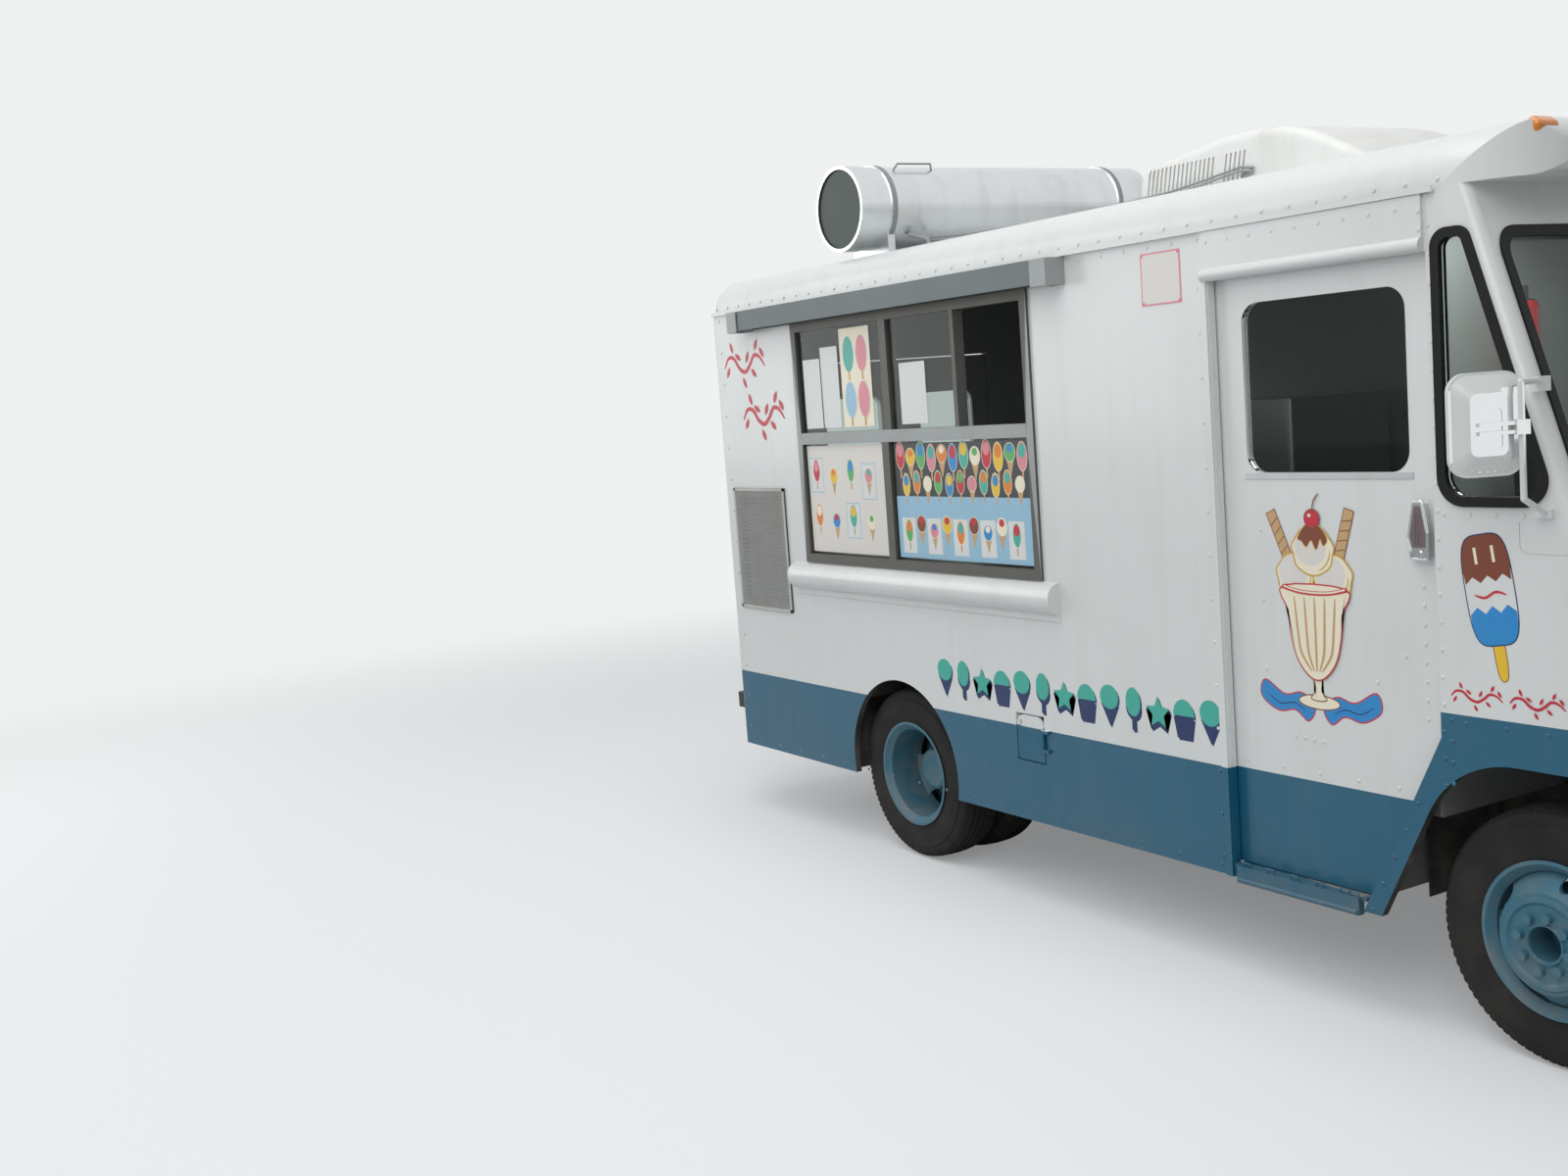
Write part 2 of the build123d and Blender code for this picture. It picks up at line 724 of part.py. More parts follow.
def fuel_flap():
    x0, x1 = flap_x
    z0, z1 = flap_z
    plate = along_y(outline([(x0, z0), (x1, z0), (x1, z1), (x0, z1)], (12, 12, 45, 45)),
                    -half_width, -half_width + flap_thick)
    barrel = rod("Z", x1 + 2, -half_width - 8, (z0 + z1) / 2, 60, 8)
    arm = block(x1 - 30, x1 + 2, -half_width - 8, -half_width, (z0 + z1) / 2 - 30, (z0 + z1) / 2 + 30)
    flap = plate + arm + barrel
    return flap - rod("Z", x1 + 2, -half_width - 8, (z0 + z1) / 2, 62, 4.3)


def fuel_cup():
    # Recess behind the flap, with the filler neck, and the hinge pin that the flap turns on
    x0, x1 = flap_x[0] - gap, flap_x[1] + gap
    z0, z1 = flap_z[0] - gap, flap_z[1] + gap
    cup = block(x0, x1, -half_width + 14, -inner_half + 60, z0, z1)
    cup -= block(x0 + 4, x1 - 4, -half_width + 13, -inner_half + 56, z0 + 4, z1 - 4)
    cup += rod("Y", (x0 + x1) / 2, -inner_half + 30, (z0 + z1) / 2, 56, 32)
    middle = (flap_z[0] + flap_z[1]) / 2
    pin = rod("Z", flap_x[1] + 2, -half_width - 8, middle, 92, 4)
    for end in (-1, 1):
        z = middle + end * 39
        pin += rod("Z", flap_x[1] + 2, -half_width - 8, z, 14, 6)
        pin += block(flap_x[1] + 2, flap_x[1] + 40, -half_width - 14, -half_width - 2, z - 7, z + 7)
        pin += block(flap_x[1] + 12, flap_x[1] + 40, -half_width - 3, -half_width, z - 7, z + 7)
    return cup, pin


def rain_rails():
    rail = block(body_rear_x + 35, cap_rear_x, -half_width - 18, -half_width, eave_z - 12, eave_z - 4)
    rail += block(body_rear_x + 35, cap_rear_x, -half_width - 18, -half_width - 14, eave_z - 12, eave_z + 6)
    x0, x1 = door_rear_x - 16, front_seam_x - 4
    header = block(x0, x1, -half_width - 12, -half_width, door_top_z, eave_z - 13)
    lip = rod("X", (x0 + x1) / 2, -half_width - 8, door_top_z + 22, x1 - x0, 22)
    header += lip & block(x0, x1, -half_width - 50, -half_width, 0, eave_z)
    post = block(door_rear_x - 34, door_rear_x - 4, -half_width - 10, -half_width, skirt_z, door_top_z)
    header += post
    return rail, flip(rail), header, flip(header)


# Front and rear fittings

def grille():
    x0 = nose_x - wall
    frame = block(x0, nose_x + 10, -grille_y, grille_y, *grille_z)
    frame -= block(x0 - 1, nose_x + 11, -grille_y + 30, grille_y - 30, grille_z[0] + 30, grille_z[1] - 30)
    bars = 9
    pitch = (grille_z[1] - grille_z[0] - 60) / (bars + 1)
    for index in range(bars):
        z = grille_z[0] + 30 + (index + 1) * pitch
        frame += block(x0 + 5, nose_x + 4, -grille_y + 20, grille_y - 20, z - 8, z + 8)
    for y in (-260, 0, 260):
        frame += block(x0 + 5, nose_x, y - 8, y + 8, grille_z[0] + 20, grille_z[1] - 20)
    return frame


def headlamps():
    lamps = []
    for side in (-1, 1):
        y = side * headlamp_y
        lamp = rod("X", nose_x - 20, y, headlamp_z, 60, headlamp_radius - seat_gap)
        lens = Pos(nose_x - 160, y, headlamp_z) * Sphere(200)
        lamp = lamp & lens
        lamp += rod("X", nose_x + 4, y, headlamp_z, 8, headlamp_radius + 20) - rod("X", nose_x, y, headlamp_z,
                                                                                 90, headlamp_radius - 12)
        lamps.append(lamp)
        signal = rod("X", nose_x + 12, y, headlamp_z - 200, 24, 48)
        lamps.append(fillet(signal.edges().sort_by(Axis.X)[-1], 10))
    return lamps


bumper_z = (420, 600)
bumper_depth = 60


def bumper_front():
    front_x = overall_length / 2
    beam = block(front_x - bumper_depth, front_x, -half_width, half_width, *bumper_z)
    beam = fillet(beam.edges().filter_by(Axis.Z), 25)
    beam -= block(front_x - bumper_depth - 1, front_x - 8, -half_width + 60, half_width - 60,
                  bumper_z[0] - 1, bumper_z[1] - 8)
    for side in (-1, 1):
        y = side * (rail_y - 30)
        beam += block(front_axle_x + 350, front_x - 8, y - 25, y + 25, bumper_z[0] + 8, nose_bottom_z - 5)
        beam += block(front_axle_x + 350, front_axle_x + 420, y - 25, y + 25, bumper_z[0] + 8,
                      rail_top_z - rail_depth)
    return beam


hitch_hole_radius = 13
hitch_plate = 16
hitch_z = 455


def bumper_rear():
    # Step bumper of tread plate on two arms, with a drawbar plate and its vertical pin hole
    rear_x = -overall_length / 2
    front_x = body_rear_x - 1
    beam = block(rear_x, front_x, -half_width + 60, half_width - 60, 520, 600)
    beam = fillet(beam.edges().filter_by(Axis.Z), 20)
    beam -= block(rear_x + 8, front_x + 1, -half_width + 100, half_width - 100, 519, 592)
    for side in (-1, 1):
        y = side * (rail_y - 30)
        beam += block(rear_x + 8, body_rear_x + 180, y - 25, y + 25, rail_top_z - rail_depth - 40, 560)
    plate_z = (hitch_z - hitch_plate / 2, hitch_z + hitch_plate / 2)
    plate = block(rear_x + 8, body_rear_x + 60, -120, 120, *plate_z)
    plate += block(rear_x + 8, rear_x + 20, -120, 120, hitch_z, 560)
    plate -= rod("Z", rear_x + 70, 0, hitch_z, 60, hitch_hole_radius)
    return beam + plate


mirror_centre = (front_axle_x + 35, -1394)
mirror_z = (1806, 2094)
mirror_width = 202
mirror_turn = 57
mirror_tube_out = 86
mirror_tube_back = 40


def mirror_head():
    # Drawn at the origin with its back towards -Y: a shallow dish with a raised middle that holds the clamp
    middle_z = (mirror_z[0] + mirror_z[1]) / 2
    half, rise = mirror_width / 2, (mirror_z[1] - mirror_z[0]) / 2
    head = along_y(window(-half, half, mirror_z[0], mirror_z[1], 52), -14, 10)
    back = Plane(origin=(0, -14, middle_z), x_dir=(1, 0, 0), z_dir=(0, -1, 0))
    head += loft([back * RectangleRounded(2 * half - 14, 2 * rise - 14, 45),
                  back.offset(22) * RectangleRounded(half, rise * 1.2, 20)])
    clamp_z = middle_z - 12
    head -= along_y(window(-36, 36, clamp_z - 54, clamp_z + 54, 10), -37, -32)
    for z in (clamp_z + 12, clamp_z - 12):
        head += block(-30, mirror_tube_out, -46, -30, z - 5, z + 5)
    head += block(mirror_tube_out - 18, mirror_tube_out + 18, -mirror_tube_back - 14, -mirror_tube_back + 14,
                  clamp_z - 20, clamp_z + 20)
    return head


def mirror_arm():
    arm = Pos(mirror_centre[0], mirror_centre[1], 0) * Rot(0, 0, mirror_turn) * mirror_head()
    turn = math.radians(mirror_turn)
    tube_x = mirror_centre[0] + mirror_tube_out * math.cos(turn) + mirror_tube_back * math.sin(turn)
    tube_y = mirror_centre[1] + mirror_tube_out * math.sin(turn) - mirror_tube_back * math.cos(turn)
    top, foot = mirror_z[1] - 34, mirror_z[0] - 66
    top_x, foot_x = front_axle_x + 33, front_axle_x + 47
    corners = [
        (top_x, -half_width + 8, top - 4),
        (tube_x, tube_y, top),
        (tube_x, tube_y, foot),
        (foot_x, -half_width - 5, belt_z + 26),
    ]
    for start, end in zip(corners, corners[1:]):
        arm += bar(start, end, 9)
    for corner in corners[1:3]:
        arm += Pos(*corner) * Sphere(9)
    arm += block(foot_x - 25, foot_x + 25, -half_width - 12, -half_width, belt_z + 12, belt_z + 38)
    arm += block(top_x - 12, top_x + 12, -half_width - 14, -half_width + 40, top - 34, top + 8)
    return arm - cab_form(0)


def body_lamps():
    # Five marker lamps lie on the cap's front slope, and four round lamps stand on the rear panel
    lamps = []
    for y, back, down in ((-980, 50, 66), (-180, 40, 38), (0, 40, 38), (180, 40, 38), (980, 50, 66)):
        lamp = Box(46, 100, 66)
        lamp = fillet(lamp.edges().filter_by(Axis.Z) + lamp.edges().group_by(Axis.Z)[-1], 15)
        lamps.append(Pos(cap_front_x - back, y, roof_top_z - down) * Rot(0, 38, 0) * lamp - cap_form(0))
    for side in (-1, 1):
        for z in (1000, 1180):
            lamp = rod("X", body_rear_x - 12, side * 890, z, 24, 58)
            lamps.append(fillet(lamp.edges().sort_by(Axis.X)[0], 10))
    return lamps


# Roof load

def roof_surface_z(y):
    corner_y = half_width - roof_edge_radius
    rise = roof_top_z - eave_z - 10
    crown = (corner_y ** 2 + rise ** 2 - roof_edge_radius ** 2) / (2 * (rise - roof_edge_radius))
    return roof_top_z - crown + math.sqrt(crown ** 2 - y ** 2)


tank_saddles_y = (-760, 660)
tank_dish = 9


def roof_tank():
    y0, y1 = tank_y
    middle = (y0 + y1) / 2
    tank = rod("Y", tank_x, middle, tank_z, y1 - y0, tank_radius)
    tank += rod("Y", tank_x, y0 + 45, tank_z, 90, tank_radius + 4)
    for end in tank_y:
        tank -= rod("Y", tank_x, end, tank_z, 2 * tank_dish, tank_radius - 12)
    for y in tank_saddles_y:
        strap = rod("Y", tank_x, y, tank_z, 34, tank_radius + 6)
        saddle = block(tank_x - 150, tank_x + 150, y - 20, y + 20, roof_top_z - 120, tank_z - 120)
        tank += strap + (saddle - along_x(roof_section(0), tank_x - 300, tank_x + 300))
    return tank


ac_slot_groups = ((90, 16), (520, 5))
ac_slot_pitch = 24


def ac_unit():
    # Streamlined shroud with rounded shoulders, and slanted louvre slots in its sides
    x0, x1 = ac_x
    body = along_y(outline([
        (x0, roof_top_z - 60),
        (x1, roof_top_z - 60),
        (x1, roof_top_z + 6),
        (x1 - 430, ac_top_z - 4),
        (x0 + 520, ac_top_z),
        (x0 + 30, ac_top_z - 60),
    ], (0, 0, 0, 700, 0, 90)), -ac_half, ac_half)
    shoulders = []
    for edge in body.edges():
        middle = edge.center()
        if abs(abs(middle.Y) - ac_half) < 1 and middle.Z > roof_top_z + 20:
            shoulders.append(edge)
    body = fillet(shoulders, 40)
    body -= along_x(roof_section(0), x0 - 10, x1 + 10)
    for start, count in ac_slot_groups:
        for index in range(count):
            x = x0 + start + index * ac_slot_pitch
            slot = Pos(x, -ac_half, roof_top_z + 105) * Rot(0, 12, 0) * Box(9, 40, 110)
            body -= slot + flip(slot)
    return body


# Chassis

def frame_rails():
    rear_x = body_rear_x + 40
    front_x = front_axle_x + 500
    z0 = rail_top_z - rail_depth
    rail = block(rear_x, front_x, rail_y - rail_flange, rail_y, z0, rail_top_z)
    rail -= block(rear_x - 1, front_x + 1, rail_y - rail_flange - 1, rail_y - rail_thick,
                  z0 + rail_thick, rail_top_z - rail_thick)
    ladder = rail + flip(rail)
    for x in (rear_x + 60, rear_axle_x - 745, rear_axle_x + 555, front_axle_x - 1625, front_axle_x - 825,
              front_x - 110):
        ladder += block(x - 30, x + 30, -rail_y + 4, rail_y - 4, z0 + 40, rail_top_z - 20)
    return ladder


box_reach = 440
box_inner_y = 600
box_top_z = 870


def floor():
    plate = block(body_rear_x + rear_panel, door_rear_x - door_travel - 60, -inner_half, inner_half,
                  floor_z - floor_thick, floor_z)
    plate += block(door_rear_x - door_travel - 61, front_seam_x - 75, -pocket_y, pocket_y,
                   floor_z - floor_thick, floor_z)
    plate -= block(front_seam_x - 76 - 200, front_seam_x, -cover_half, cover_half, 0, floor_z + 1)
    for side in (-1, 1):
        y0, y1 = sorted((side * box_inner_y, side * inner_half))
        plate += block(rear_axle_x - box_reach, rear_axle_x + box_reach, y0, y1, floor_z - 1, box_top_z)
        y0, y1 = sorted((side * (box_inner_y + 8), side * (inner_half + 1)))
        plate -= block(rear_axle_x - box_reach + 8, rear_axle_x + box_reach - 8, y0, y1, 0, box_top_z - 8)
        y0, y1 = sorted((side * (pocket_y - step_depth + 80 - 8), side * (pocket_y + 1)))
        plate -= block(door_rear_x, step_front_x, y0, y1, 0, floor_z + 1)
    plate -= block(flap_x[0] - 2 * gap, flap_x[1] + 2 * gap, -inner_half - 1, -inner_half + 62, 0, floor_z + 1)
    return plate


def leaf_spring(x, half_span, low_z, y):
    # One pack of leaves bent as an arc, thick in the middle, with an eye at each end
    high_z = rail_top_z - rail_depth - 30
    arc = ThreePointArc((x - half_span, high_z), (x, low_z), (x + half_span, high_z))
    leaves = make_face([
        arc,
        Line((x + half_span, high_z), (x + half_span, high_z + 14)),
        ThreePointArc((x + half_span, high_z + 14), (x, low_z + 46), (x - half_span, high_z + 14)),
        Line((x - half_span, high_z + 14), (x - half_span, high_z)),
    ])
    spring = along_y(leaves, y - spring_width / 2, y + spring_width / 2)
    for end in (-1, 1):
        spring += rod("Y", x + end * half_span, y, high_z + 7, spring_width, 20)
        spring += block(x + end * half_span - 18, x + end * half_span + 18, y - 28 - spring_width / 2,
                        y + spring_width / 2, high_z + 7, rail_top_z - rail_depth)
        low, high = sorted((y, math.copysign(rail_y - 30, y)))
        spring += block(x + end * half_span - 18, x + end * half_span + 18, low, high,
                        rail_top_z - rail_depth - 22, rail_top_z - rail_depth)
    return spring


def front_axle():
    beam_z = 330
    beam = block(front_axle_x - 35, front_axle_x + 35, -kingpin_y + 90, kingpin_y - 90, beam_z - 40, beam_z + 40)
    web = block(front_axle_x - 36, front_axle_x - 8, -kingpin_y + 150, kingpin_y - 150, beam_z - 28, beam_z + 28)
    beam -= web + Pos(44, 0, 0) * web
    for side in (-1, 1):
        y = side * kingpin_y
        low, high = sorted((side * (kingpin_y - 120), side * (kingpin_y - 66)))
        beam += block(front_axle_x - 35, front_axle_x + 35, low, high, beam_z - 40, tyre_radius + 45)
        beam += block(front_axle_x - 30, front_axle_x + 30, *sorted((side * (kingpin_y - 70), y)),
                      tyre_radius - 35, tyre_radius + 35)
        beam += rod("Z", front_axle_x, y, tyre_radius, 70, 30)
        beam += rod("Z", front_axle_x, y, tyre_radius, 180, 15)
        pack_z = beam_z + 40
        beam += leaf_spring(front_axle_x - 30, 480, pack_z + 12, side * spring_y)
        beam += block(front_axle_x - 45, front_axle_x + 45, side * spring_y - 45, side * spring_y + 45,
                      pack_z - 1, pack_z + 24)
    return beam


def knuckle():
    # Fork round the kingpin, spindle for the wheel and arm for the tie rod, on the serving side
    y = -kingpin_y
    fork = block(front_axle_x - 32, front_axle_x + 32, y - 62, y + 32, tyre_radius - 85, tyre_radius + 85)
    fork -= block(front_axle_x - 60, front_axle_x + 60, y - 36, y + 60, tyre_radius - 40, tyre_radius + 40)
    fork -= rod("Z", front_axle_x, y, tyre_radius, 200, 15 + seat_gap)
    root, tip = y - 40, -wheel_y - spindle_reach
    fork += rod("Y", front_axle_x, (root + tip) / 2, tyre_radius, root - tip, spindle_radius)
    fork += block(front_axle_x - steer_arm - 20, front_axle_x - 20, y + 4, y + 32, tyre_radius - 85,
                  tyre_radius - 63)
    return fork


def tie_rod():
    x = front_axle_x - steer_arm
    z = tyre_radius - 85 - 14 - seat_gap
    link = rod("Y", x, 0, z, 2 * (kingpin_y - 18), 12)
    for side in (-1, 1):
        link += rod("Z", x, side * (kingpin_y - 18), z + 2, 24, 22)
    return link


def tyre(y, side):
    # Columns: distance out from the tyre's middle, radius
    half = tyre_width / 2
    profile = [
        (-half + 23, rim_radius - 25),
        (-half + 6, rim_radius - 7),
        (-half, 310),
        (-half + 6, 365),
        (-half + 26, tyre_radius - 7),
        (-half + 50, tyre_radius),
        (half - 50, tyre_radius),
        (half - 26, tyre_radius - 7),
        (half - 6, 365),
        (half, 310),
        (half - 6, rim_radius - 7),
        (half - 23, rim_radius - 25),
    ]
    return spin(profile, 0, y, tyre_radius, side)


hand_hole_turn = 64


def rim(y, side, dish, bore, lean):
    # Rim flanges and well, and a disc that leans from its flat middle to the rim; columns as for the tyre
    half = tyre_width / 2
    base = rim_radius - 27
    profile = [
        (half - 2, rim_radius - 4),
        (half - 23, base),
        (-half + 23, base),
        (-half + 2, rim_radius - 4),
        (-half, rim_radius),
        (-half - 3, rim_radius),
        (-half - 3, rim_radius - 12),
        (-half + 22, base - 9),
        (dish + lean, base - 9),
        (dish, 150),
        (dish, bore),
        (dish + 10, bore),
        (dish + 10, 154),
        (dish + lean + 12, base - 9),
        (half - 22, base - 9),
        (half + 3, rim_radius - 12),
        (half + 3, rim_radius),
        (half, rim_radius),
    ]
    shape = spin(profile, 0, y, tyre_radius, side)
    # Four long hand holes at the disc's edge
    low = min(dish, dish + lean) - 12
    high = max(dish, dish + lean) + 24
    slot_y = y + side * (low + high) / 2
    for index in range(4):
        cuts = None
        for spread in (-10, 0, 10):
            angle = math.radians(hand_hole_turn + 90 * index + spread)
            cut = rod("Y", 190 * math.cos(angle), slot_y, tyre_radius + 190 * math.sin(angle), high - low, 24)
            cuts = cut if cuts is None else cuts + cut
        shape -= cuts & rod("Y", 0, slot_y, tyre_radius, high - low, base - 8)
    return shape


spindle_radius = 32
spindle_reach = 24
hub_bore = spindle_radius + seat_gap
axle_tube_radius = 62
front_dish = 137
nut_turn = 35
nut_circle = 84


def front_wheel(side):
    # Disc wheel that bulges outward, drum and open hub, which turn on the knuckle's spindle
    y = side * wheel_y
    wheel = rim(y, side, front_dish, 60, 62 - front_dish)
    face = front_dish + 10
    profile = [
        (-50, hub_bore),
        (-50, 150),
        (24, 150),
        (30, 140),
        (30, 72),
        (front_dish - 12, 72),
        (front_dish - 12, 112),
        (front_dish + 2, 112),
        (front_dish + 2, 146),
        (face + 7, 138),
        (face + 7, 126),
        (face, 118),
        (face, 66),
        (face + 6, 62),
        (face + 6, 56),
        (face, 53),
        (spindle_reach + 14, 53),
        (spindle_reach + 14, 0),
        (spindle_reach + 2, 0),
        (spindle_reach + 2, hub_bore),
    ]
    wheel += spin(profile, 0, y, tyre_radius, side)
    for index in range(8):
        angle = math.radians(nut_turn + 45 * index)
        x, z = nut_circle * math.cos(angle), tyre_radius + nut_circle * math.sin(angle)
        wheel += rod("Y", x, y + side * (face + 8), z, 24, 14)
    return Pos(front_axle_x, 0, 0) * wheel


def rear_wheels(side):
    # Twin disc wheels back to back, bolted to one drum
    outer_y = side * wheel_y
    inner_y = side * (wheel_y - dual_spacing)
    wheel = rim(outer_y, side, -dual_spacing / 2, 80, 50) + rim(inner_y, -side, -dual_spacing / 2, 80, 50)
    seam = wheel_y - dual_spacing / 2
    profile = [
        (-90, axle_tube_radius + seat_gap),
        (-90, 142),
        (-8, 142),
        (24, 134),
        (24, 96),
        (120, 92),
        (126, 80),
        (126, 0),
        (106, 0),
        (106, axle_tube_radius + seat_gap),
    ]
    wheel += spin(profile, 0, side * seam, tyre_radius, side)
    return Pos(rear_axle_x, 0, 0) * wheel


def rear_axle():
    housing = rod("Y", rear_axle_x, 0, tyre_radius, 2 * (wheel_y - dual_spacing / 2 + 60), axle_tube_radius)
    centre = Pos(rear_axle_x, 0, tyre_radius) * Sphere(175)
    housing += centre
    housing += rod("X", rear_axle_x + 190, 0, tyre_radius, 120, 55)
    housing += bar((rear_axle_x + 240, 0, tyre_radius), (gearbox_rear_x, 0, gearbox_z), 38)
    housing -= block(gearbox_rear_x - seat_gap, gearbox_rear_x + 50, -60, 60, 400, 700)
    for side in (-1, 1):
        pack_z = tyre_radius + 60
        housing += leaf_spring(rear_axle_x, 620, pack_z, side * spring_y)
        housing += block(rear_axle_x - 60, rear_axle_x + 60, side * spring_y - 50, side * spring_y + 50,
                         tyre_radius + 20, pack_z + 20)
    return housing


cover_half = 330
gearbox_rear_x = front_axle_x - 675
gearbox_z = 560
cover_top_z = 1180


def engine_block():
    # The engine and gearbox as one plain mass, and the radiator behind the grille
    engine = block(front_seam_x - 15, front_axle_x + 300, -240, 240, 520, cover_top_z - 60)
    engine += block(gearbox_rear_x, front_seam_x, -150, 150, gearbox_z - 100, gearbox_z + 120)
    radiator = block(front_axle_x + 440, front_axle_x + 505, -360, 360, 620, 1240)
    radiator += block(front_axle_x + 450, front_axle_x + 495, -rail_y, rail_y, rail_top_z, rail_top_z + 30)
    return engine, radiator


def engine_cover():
    x0, x1 = front_seam_x - 276, screen_base_x - 30
    points = [(x0, floor_z), (x1, floor_z), (x1, cover_top_z), (x0 + 60, cover_top_z)]
    hood_box = along_y(outline(points), -cover_half, cover_half)
    points = [(x0 + 14, floor_z - 1), (x1 + 1, floor_z - 1), (x1 + 1, cover_top_z - 12),
              (x0 + 70, cover_top_z - 12)]
    return hood_box - along_y(outline(points), -cover_half + 12, cover_half - 12)


def fuel_tank():
    x0, x1 = rear_axle_x + 735, rear_axle_x + 1335
    tank = block(x0, x1, -pocket_y + 20, -rail_y - 60, 430, rail_top_z - 15)
    tank = fillet(tank.edges().filter_by(Axis.X), 40)
    for x in (x0 + 100, x1 - 100):
        tank += block(x - 20, x + 20, -pocket_y + 16, -rail_y, rail_top_z - 20, rail_top_z)
        strap = block(x - 20, x + 20, -pocket_y + 16, -rail_y - 56, 426, rail_top_z)
        tank += strap - block(x - 21, x + 21, -pocket_y + 20, -rail_y - 60, 430, rail_top_z + 1)
    return tank


def exhaust():
    manifold = (gearbox_rear_x + 50, 190, 500)
    muffler_x = rear_axle_x + 1705
    tail_x = rear_axle_x + 595
    line = FilletPolyline(manifold, (muffler_x - 250, 190, 480), (tail_x + 310, 190, 480),
                          (tail_x, 500, 480), (tail_x, inner_half - 15, 480), radius=120)
    pipe = sweep(Plane(origin=manifold, z_dir=line % 0) * Circle(28), line)
    pipe += rod("X", muffler_x, 190, 484, 700, 85)
    for x in (muffler_x - 270, muffler_x + 270):
        pipe += block(x - 12, x + 12, 184, 196, 540, rail_top_z - seat_gap)
    return pipe


# Cab and kitchen interior

def seat():
    x, y = front_axle_x - 825, 560
    cushion = block(x - 230, x + 230, y - 230, y + 230, floor_z + 380, floor_z + 480)
    cushion = fillet(cushion.edges(), 25)
    back = along_y(outline([(x - 270, floor_z + 440), (x - 170, floor_z + 440), (x - 230, floor_z + 1080),
                            (x - 310, floor_z + 1080)], (20, 20, 30, 30)), y - 220, y + 220)
    post = block(x - 110, x + 110, y - 110, y + 110, floor_z, floor_z + 385)
    return cushion + back + post


def dash():
    # Dash shelf under the windscreen, with the steering column and wheel
    front_x = screen_base_x - 40
    shelf = along_y(outline([(front_x, 1300), (front_x, belt_z - 40), (front_x - 330, belt_z - 60),
                             (front_x - 330, 1470)], (0, 0, 40, 40)), -inner_half + 60, inner_half - 60)
    wheel_centre = (front_x - 500, 560, 1590)
    column_foot = (front_x - 120, 560, 1250)
    column = bar(column_foot, wheel_centre, 24)
    lean = Plane(origin=wheel_centre, z_dir=(wheel_centre[0] - column_foot[0], 0,
                                             wheel_centre[2] - column_foot[2]))
    ring = lean * Torus(215, 14)
    for angle in (90, 210, 330):
        spoke = Pos(107 * math.cos(math.radians(angle)), 107 * math.sin(math.radians(angle)), 0)
        ring += lean * (spoke * Rot(0, 0, angle) * Box(214, 26, 10))
    ring += lean * Cylinder(42, 40)
    bracket_x = front_x - 262
    bracket = block(bracket_x - 18, bracket_x + 18, 545, 575, 1378, 1450)
    return shelf + column + ring + bracket


def partition():
    wall_x = door_rear_x - 65
    panel = block(wall_x - 30, wall_x, 40, pocket_y - 5, floor_z, eave_z)
    return panel


def extinguisher():
    x, z = door_rear_x, eave_z - 490
    bottle = rod("Z", x, 560, z, 380, 58)
    bottle = fillet(bottle.edges().sort_by(Axis.Z)[-1], 40)
    bottle += rod("Z", x, 560, z + 210, 60, 18)
    return bottle + block(x - 65, x - 45, 530, 590, z - 110, z + 90)


def soft_serve_machine():
    x0, x1, y0, y1 = door_rear_x - 1605, door_rear_x - 1055, 380, 1050
    cabinet = block(x0, x1, y0, y1, floor_z, floor_z + 1250)
    cabinet = fillet(cabinet.edges().filter_by(Axis.Z), 30)
    for x in (x0 + 170, x1 - 170):
        cabinet += block(x - 45, x + 45, y0 - 90, y0 + 5, floor_z + 780, floor_z + 900)
        cabinet += rod("Z", x, y0 - 50, floor_z + 740, 90, 22)
    cabinet += block(x0 + 60, x1 - 60, y0 - 160, y0 + 5, floor_z + 480, floor_z + 505)
    return cabinet


def serving_counter():
    x0, x1 = serving_x[0] - 200, serving_x[1] + 60
    top_z = serving_z[0] + serving_frame_width
    top = block(x0, x1, -inner_half + 12, -inner_half + 560, top_z - 40, top_z)
    base = block(x0 + 20, x1 - 20, -inner_half + 60, -inner_half + 520, box_top_z + 1, top_z - 40)
    legs = block(rear_axle_x + box_reach + 10, x1 - 20, -inner_half + 60, -inner_half + 520, floor_z,
                 box_top_z + 2)
    return top + base + legs


